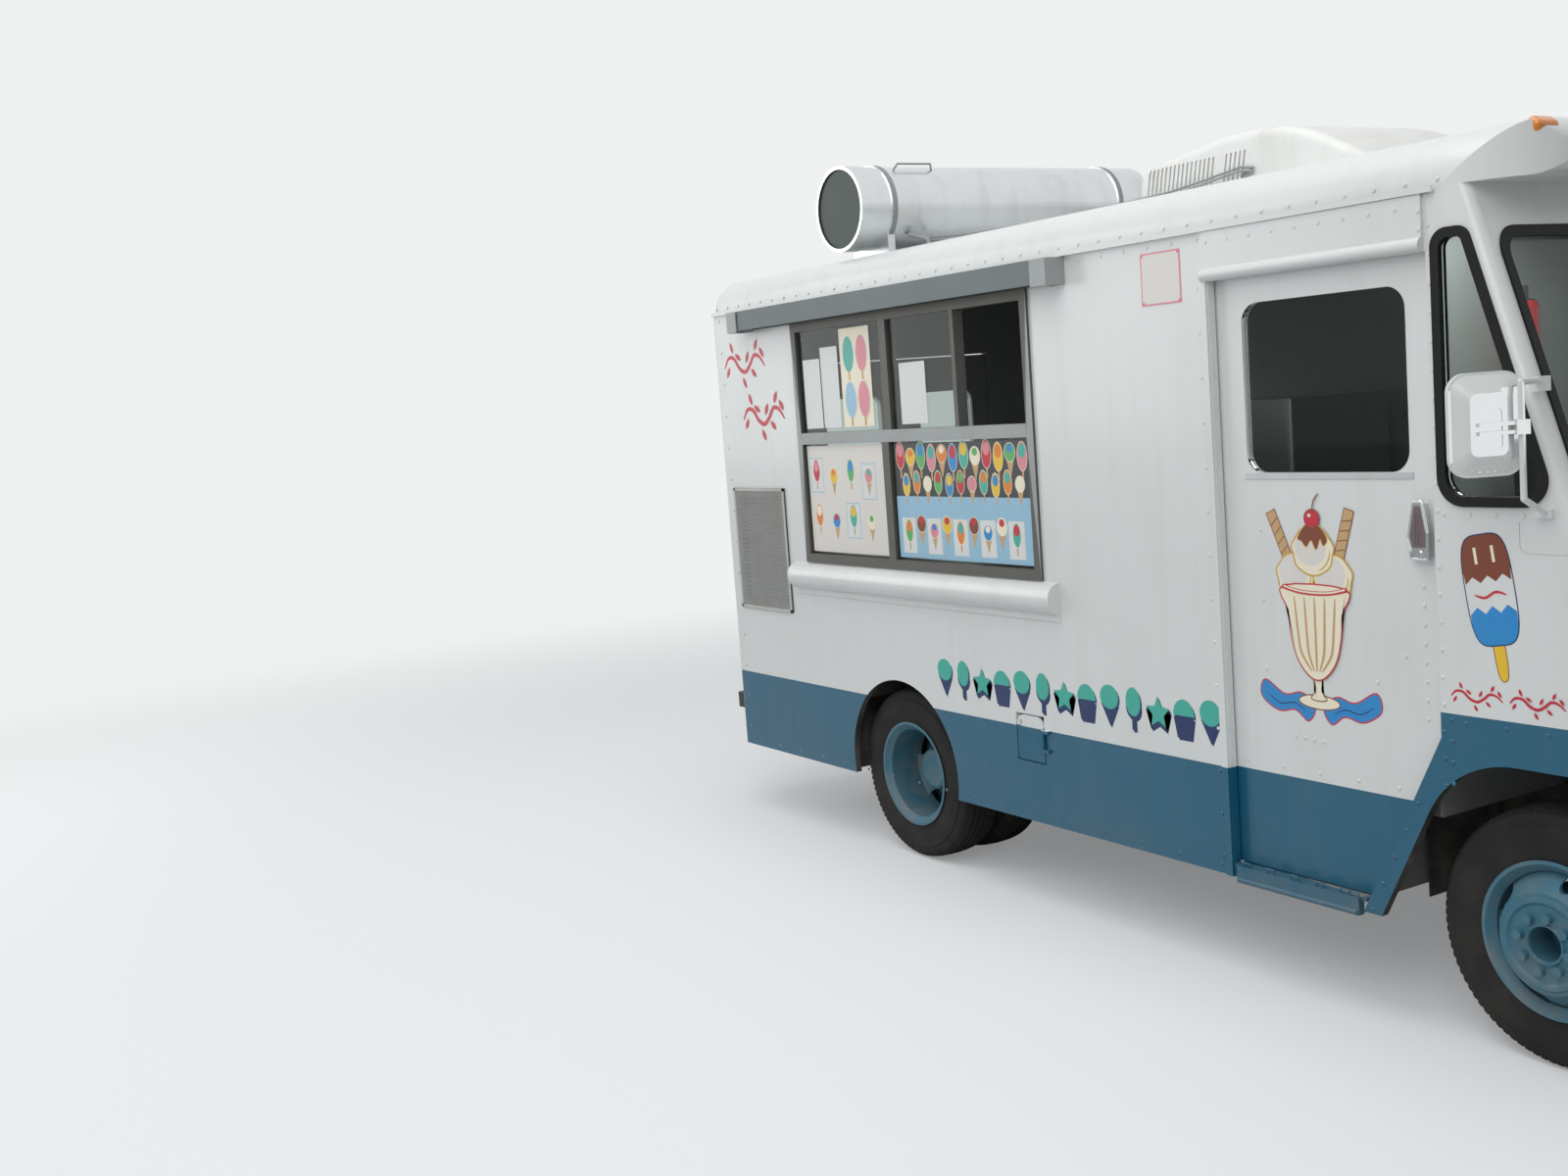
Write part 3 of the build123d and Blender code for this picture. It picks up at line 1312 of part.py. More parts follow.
def build():
    save("side_curb", side_wall(True) + door_track(), *fuel_cup())
    save("side_street", flip(side_wall(False) + door_track()))
    pins = rear_hinge_pins()
    save("rear_frame", rear_frame(), *pins, *[flip(pin) for pin in pins])
    save("roof", roof())
    save("roof_cap", roof_cap())
    save("cab_front", cab_front())
    save("cowl", cowl(), *hood_hinge_pins())
    save("hood", hood())
    save("firewall", firewall())
    save("cab_rubbers", *cab_rubbers())
    save("cab_glass", *cab_glass())
    panel, pane = sliding_door()
    save("door_curb", panel + door_hardware(), pane)
    save("door_street", flip(panel + door_hardware()), flip(pane))
    panel, pane = rear_door()
    save("rear_door_curb", panel, pane)
    save("rear_door_street", flip(panel), flip(pane))
    save("steps", steps(), flip(steps()))
    save("serving_frame", serving_frame())
    save("serving_glass", *serving_glass())
    save("counter_rail", counter_rail())
    save("awning_box", awning_box())
    save("vent_panel", vent_panel())
    save("fuel_flap", fuel_flap())
    save("rain_rails", *rain_rails())
    save("grille", grille())
    save("headlamps", *headlamps())
    save("bumper_front", bumper_front())
    save("bumper_rear", bumper_rear())
    save("mirrors", mirror_arm(), flip(mirror_arm()))
    save("body_lamps", *body_lamps())
    save("roof_tank", roof_tank())
    save("ac_unit", ac_unit())
    save("frame_rails", frame_rails())
    save("floor", floor())
    save("front_axle", front_axle())
    save("rear_axle", rear_axle())
    save("tie_rod", tie_rod())
    save("engine_block", *engine_block())
    save("engine_cover", engine_cover())
    save("fuel_tank", fuel_tank())
    save("exhaust", exhaust())
    save("seat", seat())
    save("dash", dash())
    save("partition", partition())
    save("extinguisher", extinguisher())
    save("soft_serve_machine", soft_serve_machine())
    save("serving_counter", serving_counter())
    for name, side in (("curb", -1), ("street", 1)):
        save(f"knuckle_{name}", knuckle() if side < 0 else flip(knuckle()))
        save(f"wheel_front_{name}", front_wheel(side))
        save(f"tyre_front_{name}", Pos(front_axle_x, 0, 0) * tyre(side * wheel_y, side))
        save(f"wheels_rear_{name}", rear_wheels(side))
        save(f"tyres_rear_{name}", *[Pos(rear_axle_x, 0, 0) * tyre(side * y, side)
                                     for y in (wheel_y, wheel_y - dual_spacing)])


build()
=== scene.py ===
import math

import bmesh
import bpy
from mathutils import Matrix, Vector


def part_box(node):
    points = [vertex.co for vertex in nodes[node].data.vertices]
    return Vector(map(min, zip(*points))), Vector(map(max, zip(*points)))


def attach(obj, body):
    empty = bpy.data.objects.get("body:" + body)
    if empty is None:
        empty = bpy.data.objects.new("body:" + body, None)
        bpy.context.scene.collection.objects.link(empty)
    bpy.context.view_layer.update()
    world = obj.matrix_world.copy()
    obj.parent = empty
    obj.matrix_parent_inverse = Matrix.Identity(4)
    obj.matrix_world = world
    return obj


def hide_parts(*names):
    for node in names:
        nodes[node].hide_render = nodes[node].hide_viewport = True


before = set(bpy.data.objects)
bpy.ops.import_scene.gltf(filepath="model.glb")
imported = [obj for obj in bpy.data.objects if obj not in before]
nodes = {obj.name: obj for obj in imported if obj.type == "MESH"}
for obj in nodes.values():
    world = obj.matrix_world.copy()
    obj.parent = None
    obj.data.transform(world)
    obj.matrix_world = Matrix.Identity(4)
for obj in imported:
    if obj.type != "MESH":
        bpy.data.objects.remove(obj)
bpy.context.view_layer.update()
print("frame loaded:", len(nodes), "nodes")

# Places on the truck, in metres
halfWidth = 1.150
doorHalf = 1.113  # middle of the truck to a cab door's face
wallY = -halfWidth
doorFaceY = -doorHalf
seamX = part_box("door_curb")[1].x - 0.015
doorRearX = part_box("door_curb")[0].x + 0.020
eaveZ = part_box("side_curb")[1].z
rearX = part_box("rear_frame")[0].x
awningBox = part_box("awning_box")
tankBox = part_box("roof_tank")
tankX = (tankBox[0].x + tankBox[1].x) / 2
tankZ = 3.052


def screenX(z):
    # The windscreen's outer face at height z
    return 2.262 - (z - 1.655) * 0.330


colours = {  # linear light
    "white": (0.70, 0.725, 0.72),
    "teal": (0.006, 0.108, 0.190),
    "inside": (0.33, 0.345, 0.335),
    "dust": (0.24, 0.21, 0.17),
}


# Shader node helpers

def addNode(tree, kind, inputs=(), **settings):
    # inputs gives each socket a value, or the socket that feeds it
    node = tree.nodes.new("ShaderNode" + kind)
    for label, value in settings.items():
        setattr(node, label, value)
    for label, value in dict(inputs).items():
        if isinstance(value, bpy.types.NodeSocket):
            tree.links.new(value, node.inputs[label])
        else:
            node.inputs[label].default_value = value
    return node


def calc(tree, operation, first, second):
    return addNode(tree, "Math", {0: first, 1: second}, operation=operation).outputs[0]


def blendColour(tree, factor, first, second):
    first, second = (value if isinstance(value, bpy.types.NodeSocket) else (*value, 1.0)
                     for value in (first, second))
    return addNode(tree, "Mix", {"Factor": factor, 6: first, 7: second}, data_type="RGBA").outputs[2]


def ramp(tree, value, low, high, shape="LINEAR"):
    return addNode(tree, "MapRange", {"Value": value, "From Min": low, "From Max": high}, clamp=True,
                   interpolation_type=shape).outputs["Result"]


def noise(tree, place, scale, detail):
    return addNode(tree, "TexNoise", {"Scale": scale, "Detail": detail, "Vector": place}).outputs["Fac"]


def newGroup(name, inputs, outputs):
    # columns: socket kind, label, default
    group = bpy.data.node_groups.new(name, "ShaderNodeTree")
    for kind, label, value in inputs:
        socket = group.interface.new_socket(label, in_out="INPUT", socket_type="NodeSocket" + kind)
        socket.default_value = value
    for kind, label in outputs:
        group.interface.new_socket(label, in_out="OUTPUT", socket_type="NodeSocket" + kind)
    start = group.nodes.new("NodeGroupInput")
    end = group.nodes.new("NodeGroupOutput")
    return group, start.outputs, end.inputs


# Road dust and rain streaks, shared by everything that is painted or bare metal
dirt = {"spots": (0.45, 0.75), "splash": (0.25, 0.70), "streaks": (0.52, 0.75), "streakScale": 3.0,
        "streakStretch": (4, 4, 0.35), "spotCover": 0.35, "most": 0.95, "roughening": 0.5}
weathering, wIn, wOut = newGroup(
    "weathering",
    [("Color", "Clean", (1, 1, 1, 1)), ("Color", "Dust", (*colours["dust"], 1)), ("Float", "Amount", 0.3),
     ("Float", "Splash Height", 0.7), ("Float", "Mottle Scale", 3.0), ("Float", "Roughness", 0.3)],
    [("Color", "Color"), ("Float", "Roughness"), ("Float", "Height")],
)


def dustCalc(operation, first, second):
    return calc(weathering, operation, first, second)


place = addNode(weathering, "TexCoord").outputs["Object"]
height = addNode(weathering, "SeparateXYZ", {0: place}).outputs["Z"]
stretched = addNode(weathering, "Mapping", {"Scale": dirt["streakStretch"], "Vector": place})
mottle = noise(weathering, place, wIn["Mottle Scale"], 6.0)
streak = noise(weathering, stretched.outputs["Vector"], dirt["streakScale"], 5.0)
splash = dustCalc("MAXIMUM", dustCalc("SUBTRACT", 1.0, dustCalc("DIVIDE", height, wIn["Splash Height"])), 0.0)
splash = dustCalc("MULTIPLY", splash, ramp(weathering, mottle, *dirt["splash"]))
spots = dustCalc("ADD", ramp(weathering, mottle, *dirt["spots"]), ramp(weathering, streak, *dirt["streaks"]))
cover = dustCalc("ADD", splash, dustCalc("MULTIPLY", spots, dirt["spotCover"]))
cover = dustCalc("MINIMUM", dustCalc("MULTIPLY", cover, wIn["Amount"]), dirt["most"])
rough = dustCalc("ADD", wIn["Roughness"], dustCalc("MULTIPLY", cover, dirt["roughening"]))
weathering.links.new(blendColour(weathering, cover, wIn["Clean"], wIn["Dust"]), wOut["Color"])
weathering.links.new(dustCalc("MINIMUM", rough, dirt["most"]), wOut["Roughness"])
weathering.links.new(noise(weathering, place, 60.0, 3.0), wOut["Height"])


def newMaterial(name, colour, roughness, dust=0.0, splash=0.7, mottle=3.0, bump=0.0, sockets=()):
    # dust above 0 lays the weathering over the colour; sockets are the shader's other values
    material = bpy.data.materials.new(name)
    material.use_nodes = True
    tree = material.node_tree
    shader = tree.nodes["Principled BSDF"]
    for label, value in {"Roughness": roughness, **dict(sockets)}.items():
        shader.inputs[label].default_value = value
    if colour:
        shader.inputs["Base Color"].default_value = (*colour, 1)
    if dust:
        weather = addNode(tree, "Group", node_tree=weathering)
        for label, value in (("Amount", dust), ("Splash Height", splash), ("Mottle Scale", mottle),
                             ("Roughness", roughness), ("Clean", (*(colour or colours["white"]), 1))):
            weather.inputs[label].default_value = value
        tree.links.new(weather.outputs["Color"], shader.inputs["Base Color"])
        tree.links.new(weather.outputs["Roughness"], shader.inputs["Roughness"])
    if dust and bump:
        relief = addNode(tree, "Bump", {"Strength": bump, "Distance": 0.002,
                                        "Height": weather.outputs["Height"]})
        tree.links.new(relief.outputs["Normal"], shader.inputs["Normal"])
    return material


def bodyPaint(name, bandTop):
    # White above bandTop and teal below it on the outside, plain off-white on the inside
    material = newMaterial(name, None, 0.28, 0.15, 0.62, 2.2, 0.05,
                           {"Coat Weight": 0.25, "Coat Roughness": 0.12})
    tree = material.node_tree
    coord = addNode(tree, "TexCoord")
    split = addNode(tree, "SeparateXYZ", {0: coord.outputs["Object"]})
    facing = addNode(tree, "SeparateXYZ", {0: coord.outputs["Normal"]})
    band = calc(tree, "LESS_THAN", split.outputs["Z"], bandTop)
    outer = blendColour(tree, band, colours["white"], colours["teal"])
    sideways = calc(tree, "MULTIPLY", split.outputs["Y"], facing.outputs["Y"])
    lengthways = calc(tree, "MULTIPLY", split.outputs["X"], facing.outputs["X"])
    inward = calc(tree, "MAXIMUM", calc(tree, "LESS_THAN", sideways, -0.3),
                  calc(tree, "LESS_THAN", lengthways, -1.2))
    weather = next(n for n in tree.nodes if n.type == "GROUP")
    tree.links.new(blendColour(tree, inward, outer, colours["inside"]), weather.inputs["Clean"])
    return material


glossy = {"Coat Weight": 0.5}
metal = {"Metallic": 1.0}
rubber = {"Specular IOR Level": 0.2}
# Columns: colour, roughness, dust, splash height, mottle scale, bump, other sockets of the shader
finishRows = {
    "whitePaint": (colours["white"], 0.30, 0.2, 0.3, 2.0, 0.05, {"Coat Weight": 0.25}),
    "tealPaint": (colours["teal"], 0.35, 0.5, 0.7, 3.0, 0.05),
    "wheelPaint": ((0.022, 0.145, 0.220), 0.42, 0.55, 0.9, 9.0, 0.1),
    "insidePaint": (colours["inside"], 0.50, 0.3, 1.2),
    "greyPaint": ((0.22, 0.23, 0.23), 0.50, 0.4, 1.3),
    "floorGrey": ((0.12, 0.12, 0.12), 0.60, 0.6, 1.5, 6.0),
    "blackRubber": ((0.009, 0.009, 0.010), 0.55, 0.04, 0.7, 8.0, 0.0, rubber),
    "windowGlass": ((0.62, 0.68, 0.66), 0.02, 0.0, 0.0, 0.0, 0.0, {"Transmission Weight": 1.0, "IOR": 1.2}),
    "windowMetal": ((0.11, 0.11, 0.10), 0.50, 0.35, 1.0, 7.0, 0.08, {"Metallic": 0.4}),
    "mullionMetal": ((0.30, 0.32, 0.32), 0.45, 0.3, 1.0, 7.0, 0.08, {"Metallic": 0.5}),
    "awningEnd": ((0.34, 0.36, 0.36), 0.40, 0.3, 0.7, 3.0),
    "awningMetal": ((0.115, 0.14, 0.145), 0.45, 0.3, 0.5, 2.0, 0.06, {"Metallic": 0.4}),
    "tankMetal": ((0.74, 0.76, 0.77), 0.30, 0.35, 0.5, 3.5, 0.12, metal),
    "tankLid": ((0.040, 0.055, 0.050), 0.45, 0.12, 0.7, 4.0, 0.1, {"Metallic": 0.5}),
    "tankStrap": ((0.30, 0.31, 0.31), 0.50, 0.4, 0.7, 3.0, 0.1, {"Metallic": 0.8}),
    "sillMetal": ((0.55, 0.56, 0.57), 0.35, 0.4, 0.7, 3.0, 0.1, metal),
    "handleInset": ((0.34, 0.27, 0.28), 0.18, 0.0, 0.0, 0.0, 0.0, metal),
    "ventGrey": ((0.07, 0.07, 0.065), 0.70),
    "meshPaint": ((0.48, 0.49, 0.47), 0.50, 0.5, 1.2, 9.0),
    "grilleMetal": ((0.60, 0.61, 0.61), 0.30, 0.3, 0.7, 3.0, 0.0, metal),
    "mirrorGlass": ((0.86, 0.88, 0.88), 0.03, 0.0, 0.0, 0.0, 0.0, metal),
    "chrome": ((0.75, 0.75, 0.76), 0.12, 0.15, 0.7, 9.0, 0.0, metal),
    "lampGlass": ((0.9, 0.92, 0.92), 0.08, 0.0, 0.0, 0.0, 0.0, {"Transmission Weight": 0.6, "IOR": 1.45}),
    "amberLens": ((0.75, 0.23, 0.02), 0.15, 0.0, 0.0, 0.0, 0.0, glossy),
    "redLens": ((0.45, 0.01, 0.01), 0.15, 0.0, 0.0, 0.0, 0.0, glossy),
    "shroudPlastic": ((0.78, 0.79, 0.77), 0.42, 0.35, 0.4, 5.0),
    "chassisBlack": ((0.018, 0.018, 0.018), 0.60, 0.6, 0.9, 8.0, 0.15),
    "castIron": ((0.06, 0.055, 0.05), 0.70, 0.5, 0.7, 9.0, 0.25, {"Metallic": 0.4}),
    "exhaustSteel": ((0.20, 0.15, 0.12), 0.60, 0.6, 0.7, 9.0, 0.2, {"Metallic": 0.8}),
    "seatVinyl": ((0.02, 0.02, 0.022), 0.50, 0.15, 0.7, 3.0, 0.2),
    "dashBlack": ((0.02, 0.02, 0.02), 0.55, 0.15),
    "cableGrey": ((0.30, 0.31, 0.32), 0.50, 0.2),
    "bottleRed": ((0.50, 0.015, 0.015), 0.30, 0.0, 0.0, 0.0, 0.0, {"Coat Weight": 0.4}),
    "stainless": ((0.55, 0.55, 0.54), 0.30, 0.15, 0.7, 6.0, 0.0, metal),
    "tyreRubber": ((0.016, 0.016, 0.017), 0.80, 0.08, 1.0, 7.0, 0.3, rubber),
}
finishes = {"wallPaint": bodyPaint("wallPaint", 0.750), "nosePaint": bodyPaint("nosePaint", 1.060)}
for name, row in finishRows.items():
    finishes[name] = newMaterial(name, *row)

# Sign painter's colours for the artwork
inkColours = {
    "gold": (0.62, 0.38, 0.06), "cream": (0.86, 0.80, 0.62), "red": (0.55, 0.02, 0.04),
    "navy": (0.01, 0.03, 0.12), "blue": (0.02, 0.25, 0.60), "brown": (0.20, 0.05, 0.02),
    "yellow": (0.80, 0.52, 0.03), "paper": (0.72, 0.70, 0.66), "pink": (0.70, 0.25, 0.30),
    "green": (0.10, 0.42, 0.12), "orange": (0.75, 0.22, 0.02), "white": colours["white"],
    "tan": (0.56, 0.36, 0.17), "sky": (0.30, 0.52, 0.68), "smoke": (0.03, 0.035, 0.04),
    "mint": (0.05, 0.42, 0.34),
}
inks = {label: newMaterial(label + "Ink", colour, 0.35, 0.12, 0.7, 4.0)
        for label, colour in inkColours.items()}
print("materials made:", len(bpy.data.materials))

# CAD nodes that are wholly in one finish
nodeFinishes = {
    "wallPaint": "side_curb side_street rear_frame rear_door_curb rear_door_street door_curb door_street "
                 "rain_rails",
    "nosePaint": "cowl hood",
    "whitePaint": "roof roof_cap cab_front counter_rail mirrors bumper_front",
    "tealPaint": "steps fuel_flap",
    "wheelPaint": "wheel_front_curb wheel_front_street wheels_rear_curb wheels_rear_street",
    "insidePaint": "partition",
    "greyPaint": "firewall engine_cover",
    "floorGrey": "floor",
    "blackRubber": "cab_rubbers",
    "windowGlass": "cab_glass serving_glass",
    "windowMetal": "serving_frame",
    "awningMetal": "awning_box",
    "tankMetal": "roof_tank",
    "ventGrey": "vent_panel",
    "grilleMetal": "grille",
    "lampGlass": "headlamps",
    "amberLens": "body_lamps",
    "shroudPlastic": "ac_unit",
    "chassisBlack": "frame_rails front_axle rear_axle tie_rod knuckle_curb knuckle_street fuel_tank "
                    "bumper_rear",
    "castIron": "engine_block",
    "exhaustSteel": "exhaust",
    "seatVinyl": "seat",
    "dashBlack": "dash",
    "bottleRed": "extinguisher",
    "stainless": "soft_serve_machine serving_counter",
    "tyreRubber": "tyre_front_curb tyre_front_street tyres_rear_curb tyres_rear_street",
}
for finish, names in nodeFinishes.items():
    for name in names.split():
        nodes[name].data.materials.clear()
        nodes[name].data.materials.append(finishes[finish])


def repaint(name, finish, test):
    # Gives a CAD node's faces a second finish where test(centre, normal) holds
    mesh = nodes[name].data
    mesh.materials.append(finishes[finish])
    index = len(mesh.materials) - 1
    for polygon in mesh.polygons:
        if test(polygon.center, polygon.normal):
            polygon.material_index = index


far = 9.0  # past either end of the truck


def zone(x=(-far, far), out=(-far, far), z=(-far, far)):
    # A test for repaint: the face's centre is in these ranges, with out as its distance from the middle
    return lambda c, n: x[0] < c.x < x[1] and out[0] < abs(c.y) < out[1] and z[0] < c.z < z[1]


headlamp = {"y": 0.8, "z": 1.01, "lensRadius": 0.0925, "turnLampTop": 0.87}
tankLid = {"radius": 0.187, "thickness": 0.012}
rearArch = {"x": -1.155, "z": 0.43, "radius": 0.417, "edge": 0.012}
mirrorFace = zone(out=(1.28, far), z=(1.85, 2.05))
cowlInside = zone(x=(1.5, 2.62), out=(0.7, far), z=(-far, 0.95))
awningCap = 0.0915

for side in ("curb", "street"):
    repaint(f"door_{side}", "windowGlass", zone(x=(1.02, 1.68), out=(1.097, 1.1045), z=(1.80, 2.365)))
    repaint(f"door_{side}", "chrome", zone(out=(1.1135, far), z=(1.50, 1.74)))
    repaint(f"rear_door_{side}", "windowGlass", zone(x=(-2.6605, -2.6545), out=(0.12, 0.51), z=(1.64, 2.16)))
    repaint(f"rear_door_{side}", "chrome", zone(x=(-far, rearX - 0.0002), out=(-far, 0.08), z=(1.2, 1.6)))
repaint("headlamps", "chrome", lambda c, n: c.z > headlamp["turnLampTop"] and math.hypot(
    abs(c.y) - headlamp["y"], c.z - headlamp["z"]) > headlamp["lensRadius"])
repaint("headlamps", "amberLens", zone(z=(-far, headlamp["turnLampTop"])))
repaint("body_lamps", "redLens", zone(x=(-far, -2), z=(1.09, far)))
repaint("fuel_flap", "wallPaint", zone(z=(0.75, far)))
repaint("extinguisher", "chassisBlack", zone(z=(2.33, far)))
repaint("steps", "greyPaint", zone(out=(-far, 1.12)))
repaint("awning_box", "awningEnd",
        lambda c, n: c.x > awningBox[1].x - awningCap or c.x < awningBox[0].x + awningCap)
repaint("mirrors", "mirrorGlass", lambda c, n: n.x > 0.8 and mirrorFace(c, n))
repaint("roof_tank", "tankLid", lambda c, n: math.hypot(c.x - tankX, c.z - tankZ) < tankLid["radius"]
        and not tankBox[0].y + tankLid["thickness"] < c.y < tankBox[1].y - tankLid["thickness"])
repaint("serving_frame", "mullionMetal", zone(z=(1.945, 2.001)))
for side in ("curb", "street"):
    repaint(f"side_{side}", "chassisBlack", lambda c, n: abs(
        math.hypot(c.x - rearArch["x"], c.z - rearArch["z"]) - rearArch["radius"]) < rearArch["edge"])
repaint("cowl", "chassisBlack", lambda c, n: abs(n.y) < 0.5 and cowlInside(c, n))
print("nodes painted")


# Bmesh helpers: each adds its shape to a bmesh at its place in the frame

def addBlock(bm, low, high, bevel=0.0):
    low, high = Vector(low), Vector(high)
    made = bmesh.ops.create_cube(bm, size=1.0)
    bmesh.ops.scale(bm, vec=high - low, verts=made["verts"])
    bmesh.ops.translate(bm, vec=(low + high) / 2, verts=made["verts"])
    if bevel:
        edges = list({edge for vert in made["verts"] for edge in vert.link_edges})
        bmesh.ops.bevel(bm, geom=edges, offset=bevel, affect="EDGES", segments=2, profile=0.5, material=-1)


def addSideBlock(bm, side, x, out, z, bevel=0.0):
    # x, out and z are ranges; out is measured from the middle, to the side of that sign
    near, away = sorted(side * y for y in out)
    addBlock(bm, (x[0], near, z[0]), (x[1], away, z[1]), bevel)


def addRod(bm, start, end, radius, sides=16):
    start, end = Vector(start), Vector(end)
    along = end - start
    turn = Vector((0, 0, 1)).rotation_difference(along).to_matrix().to_4x4()
    bmesh.ops.create_cone(bm, cap_ends=True, cap_tris=False, segments=sides, radius1=radius, radius2=radius,
                          depth=along.length, matrix=Matrix.Translation((start + end) / 2) @ turn)


def addBall(bm, centre, radius):
    bmesh.ops.create_uvsphere(bm, u_segments=12, v_segments=8, radius=radius,
                              matrix=Matrix.Translation(Vector(centre)))


def addWire(bm, points, radius):
    # A bent wire: rods between the points with a ball at each bend
    for start, end in zip(points, points[1:]):
        addRod(bm, start, end, radius, sides=10)
    for bend in points[1:-1]:
        addBall(bm, bend, radius)


def addTurned(bm, profile, origin, steps=48):
    # profile is (radius, out along Y) from one end to the other, turned about an axle along Y
    origin = Vector(origin)
    verts = [bm.verts.new(origin + Vector((radius, out, 0))) for radius, out in profile]
    edges = [bm.edges.new(pair) for pair in zip(verts, verts[1:])]
    bmesh.ops.spin(bm, geom=verts + edges, cent=origin, axis=(0, 1, 0), angle=2 * math.pi, steps=steps,
                   use_merge=True)


def newObject(name, bm, materials):
    mesh = bpy.data.meshes.new(name)
    bm.to_mesh(mesh)
    bm.free()
    for material in materials:
        mesh.materials.append(material)
    made = bpy.data.objects.new(name, mesh)
    bpy.context.scene.collection.objects.link(made)
    return made


def finishPiece(name, bm, finish, body, smooth=False):
    bmesh.ops.remove_doubles(bm, verts=bm.verts, dist=0.00005)
    bmesh.ops.recalc_face_normals(bm, faces=bm.faces)
    piece = newObject(name, bm, [finishes.get(finish) or inks[finish]])
    if smooth:
        piece.data.shade_smooth()
        piece.data.set_sharp_from_angle(angle=math.radians(35))
    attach(piece, body)
    return piece


# Tyres: rounded shoulders, four grooves and side beads, in place of the plain ones

tyreShape = {
    "radius": 0.400, "width": 0.215, "crown": 0.9, "steps": 96, "twinApart": 0.1275,
    "wall": ((0.218, 0.023), (0.236, 0.006), (0.285, 0.001), (0.320, 0.0), (0.345, 0.003), (0.349, 0.008),
             (0.368, 0.009), (0.386, 0.018), (0.394, 0.031)),  # radius, distance in from the side
    "grooves": (-0.048, -0.016, 0.016, 0.048), "grooveDepth": 0.009, "grooveTop": 0.005, "grooveFoot": 0.003,
    "lugs": 88, "lugSize": (0.014, 0.010, 0.016), "lugTurn": 0.62, "lugRadius": 0.3825, "lugOut": 0.0860,
}


def tyreProfile():
    shape = tyreShape
    points = [(radius, inward - shape["width"] / 2) for radius, inward in shape["wall"]]
    otherWall = [(radius, -out) for radius, out in reversed(points)]
    for middle in shape["grooves"]:
        crown = shape["radius"] - shape["crown"] * middle ** 2
        floor = crown - shape["grooveDepth"]
        points += [(crown, middle - shape["grooveTop"]), (floor, middle - shape["grooveFoot"]),
                   (floor, middle + shape["grooveFoot"]), (crown, middle + shape["grooveTop"])]
    return points + otherWall


def addTyre(bm, centre):
    shape = tyreShape
    addTurned(bm, tyreProfile(), centre, shape["steps"])
    for index in range(shape["lugs"]):
        around = Matrix.Rotation(2 * math.pi * index / shape["lugs"], 3, "Y")
        for side in (-1, 1):
            lug = bmesh.ops.create_cube(bm, size=1.0)["verts"]
            bmesh.ops.scale(bm, vec=shape["lugSize"], verts=lug)
            twist = Matrix.Rotation(side * shape["lugTurn"], 3, "Z")
            bmesh.ops.rotate(bm, cent=(0, 0, 0), matrix=twist, verts=lug)
            bmesh.ops.translate(bm, vec=(shape["lugRadius"], side * shape["lugOut"], 0), verts=lug)
            bmesh.ops.rotate(bm, cent=(0, 0, 0), matrix=around, verts=lug)
            bmesh.ops.translate(bm, vec=centre, verts=lug)


single, twin = (0,), (-tyreShape["twinApart"], tyreShape["twinApart"])
for node, body, offsets in (
    ("tyre_front_curb", "wheel_front_curb", single),
    ("tyre_front_street", "wheel_front_street", single),
    ("tyres_rear_curb", "wheels_rear_curb", twin),
    ("tyres_rear_street", "wheels_rear_street", twin),
):
    low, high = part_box(node)
    bm = bmesh.new()
    for offset in offsets:
        addTyre(bm, (low + high) / 2 + Vector((0, offset, 0)))
    tyre = finishPiece(node + "Tread", bm, "tyreRubber", body, smooth=True)
    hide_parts(node)
print("tyres made")


# Rivets along the panel seams

rivet = {"radius": 0.0078, "height": 0.0038, "sides": 10, "headShare": 0.65, "sunk": 0.0003}
railHalf = 1.162  # middle of the truck to the face of the door header
eaveRow = {"front": seamX + 0.05, "rear": rearX + 0.1, "z": eaveZ + 0.022, "pitch": 0.115}
rearRows = {"y": (1.00, 0.68), "low": 0.65, "high": 2.58, "pitch": 0.17}


def addRivetRow(bm, start, end, normal, pitch):
    start, end, normal = Vector(start), Vector(end), Vector(normal)
    count = max(1, round((end - start).length / pitch))
    turn = Vector((0, 0, 1)).rotation_difference(normal).to_matrix().to_4x4()
    for index in range(count + 1):
        foot = start.lerp(end, index / count) + normal * (rivet["height"] / 2 - rivet["sunk"])
        bmesh.ops.create_cone(bm, cap_ends=True, cap_tris=False, segments=rivet["sides"],
                              radius1=rivet["radius"], radius2=rivet["radius"] * rivet["headShare"],
                              depth=rivet["height"], matrix=Matrix.Translation(foot) @ turn)


# Columns: start x, z, end x, z, pitch; both sides
sideRivetRows = [
    (1.807, 0.83, 1.807, 1.68, 0.085),
    (1.807, 1.765, 1.807, 2.62, 0.085),
    (1.835, 0.84, 1.835, 1.04, 0.07),
    (1.700, 0.756, 1.505, 0.368, 0.108),
    (1.885, 1.035, 2.30, 1.035, 0.14),
    (doorRearX - 0.050, 0.42, doorRearX - 0.050, 2.44, 0.15),
    (-2.585, 0.45, -2.585, 2.60, 0.17),
    (1.83, 1.672, 2.19, 1.672, 0.09),
    (-2.50, 0.385, 0.84, 0.385, 0.21),
    (-1.90, 1.352, -0.05, 1.352, 0.12),
    (0.25, 2.605, 0.86, 2.605, 0.12),
    (0.915, 2.592, 1.70, 2.592, 0.100),
    (1.783, 2.47, 1.783, 2.63, 0.055),
]
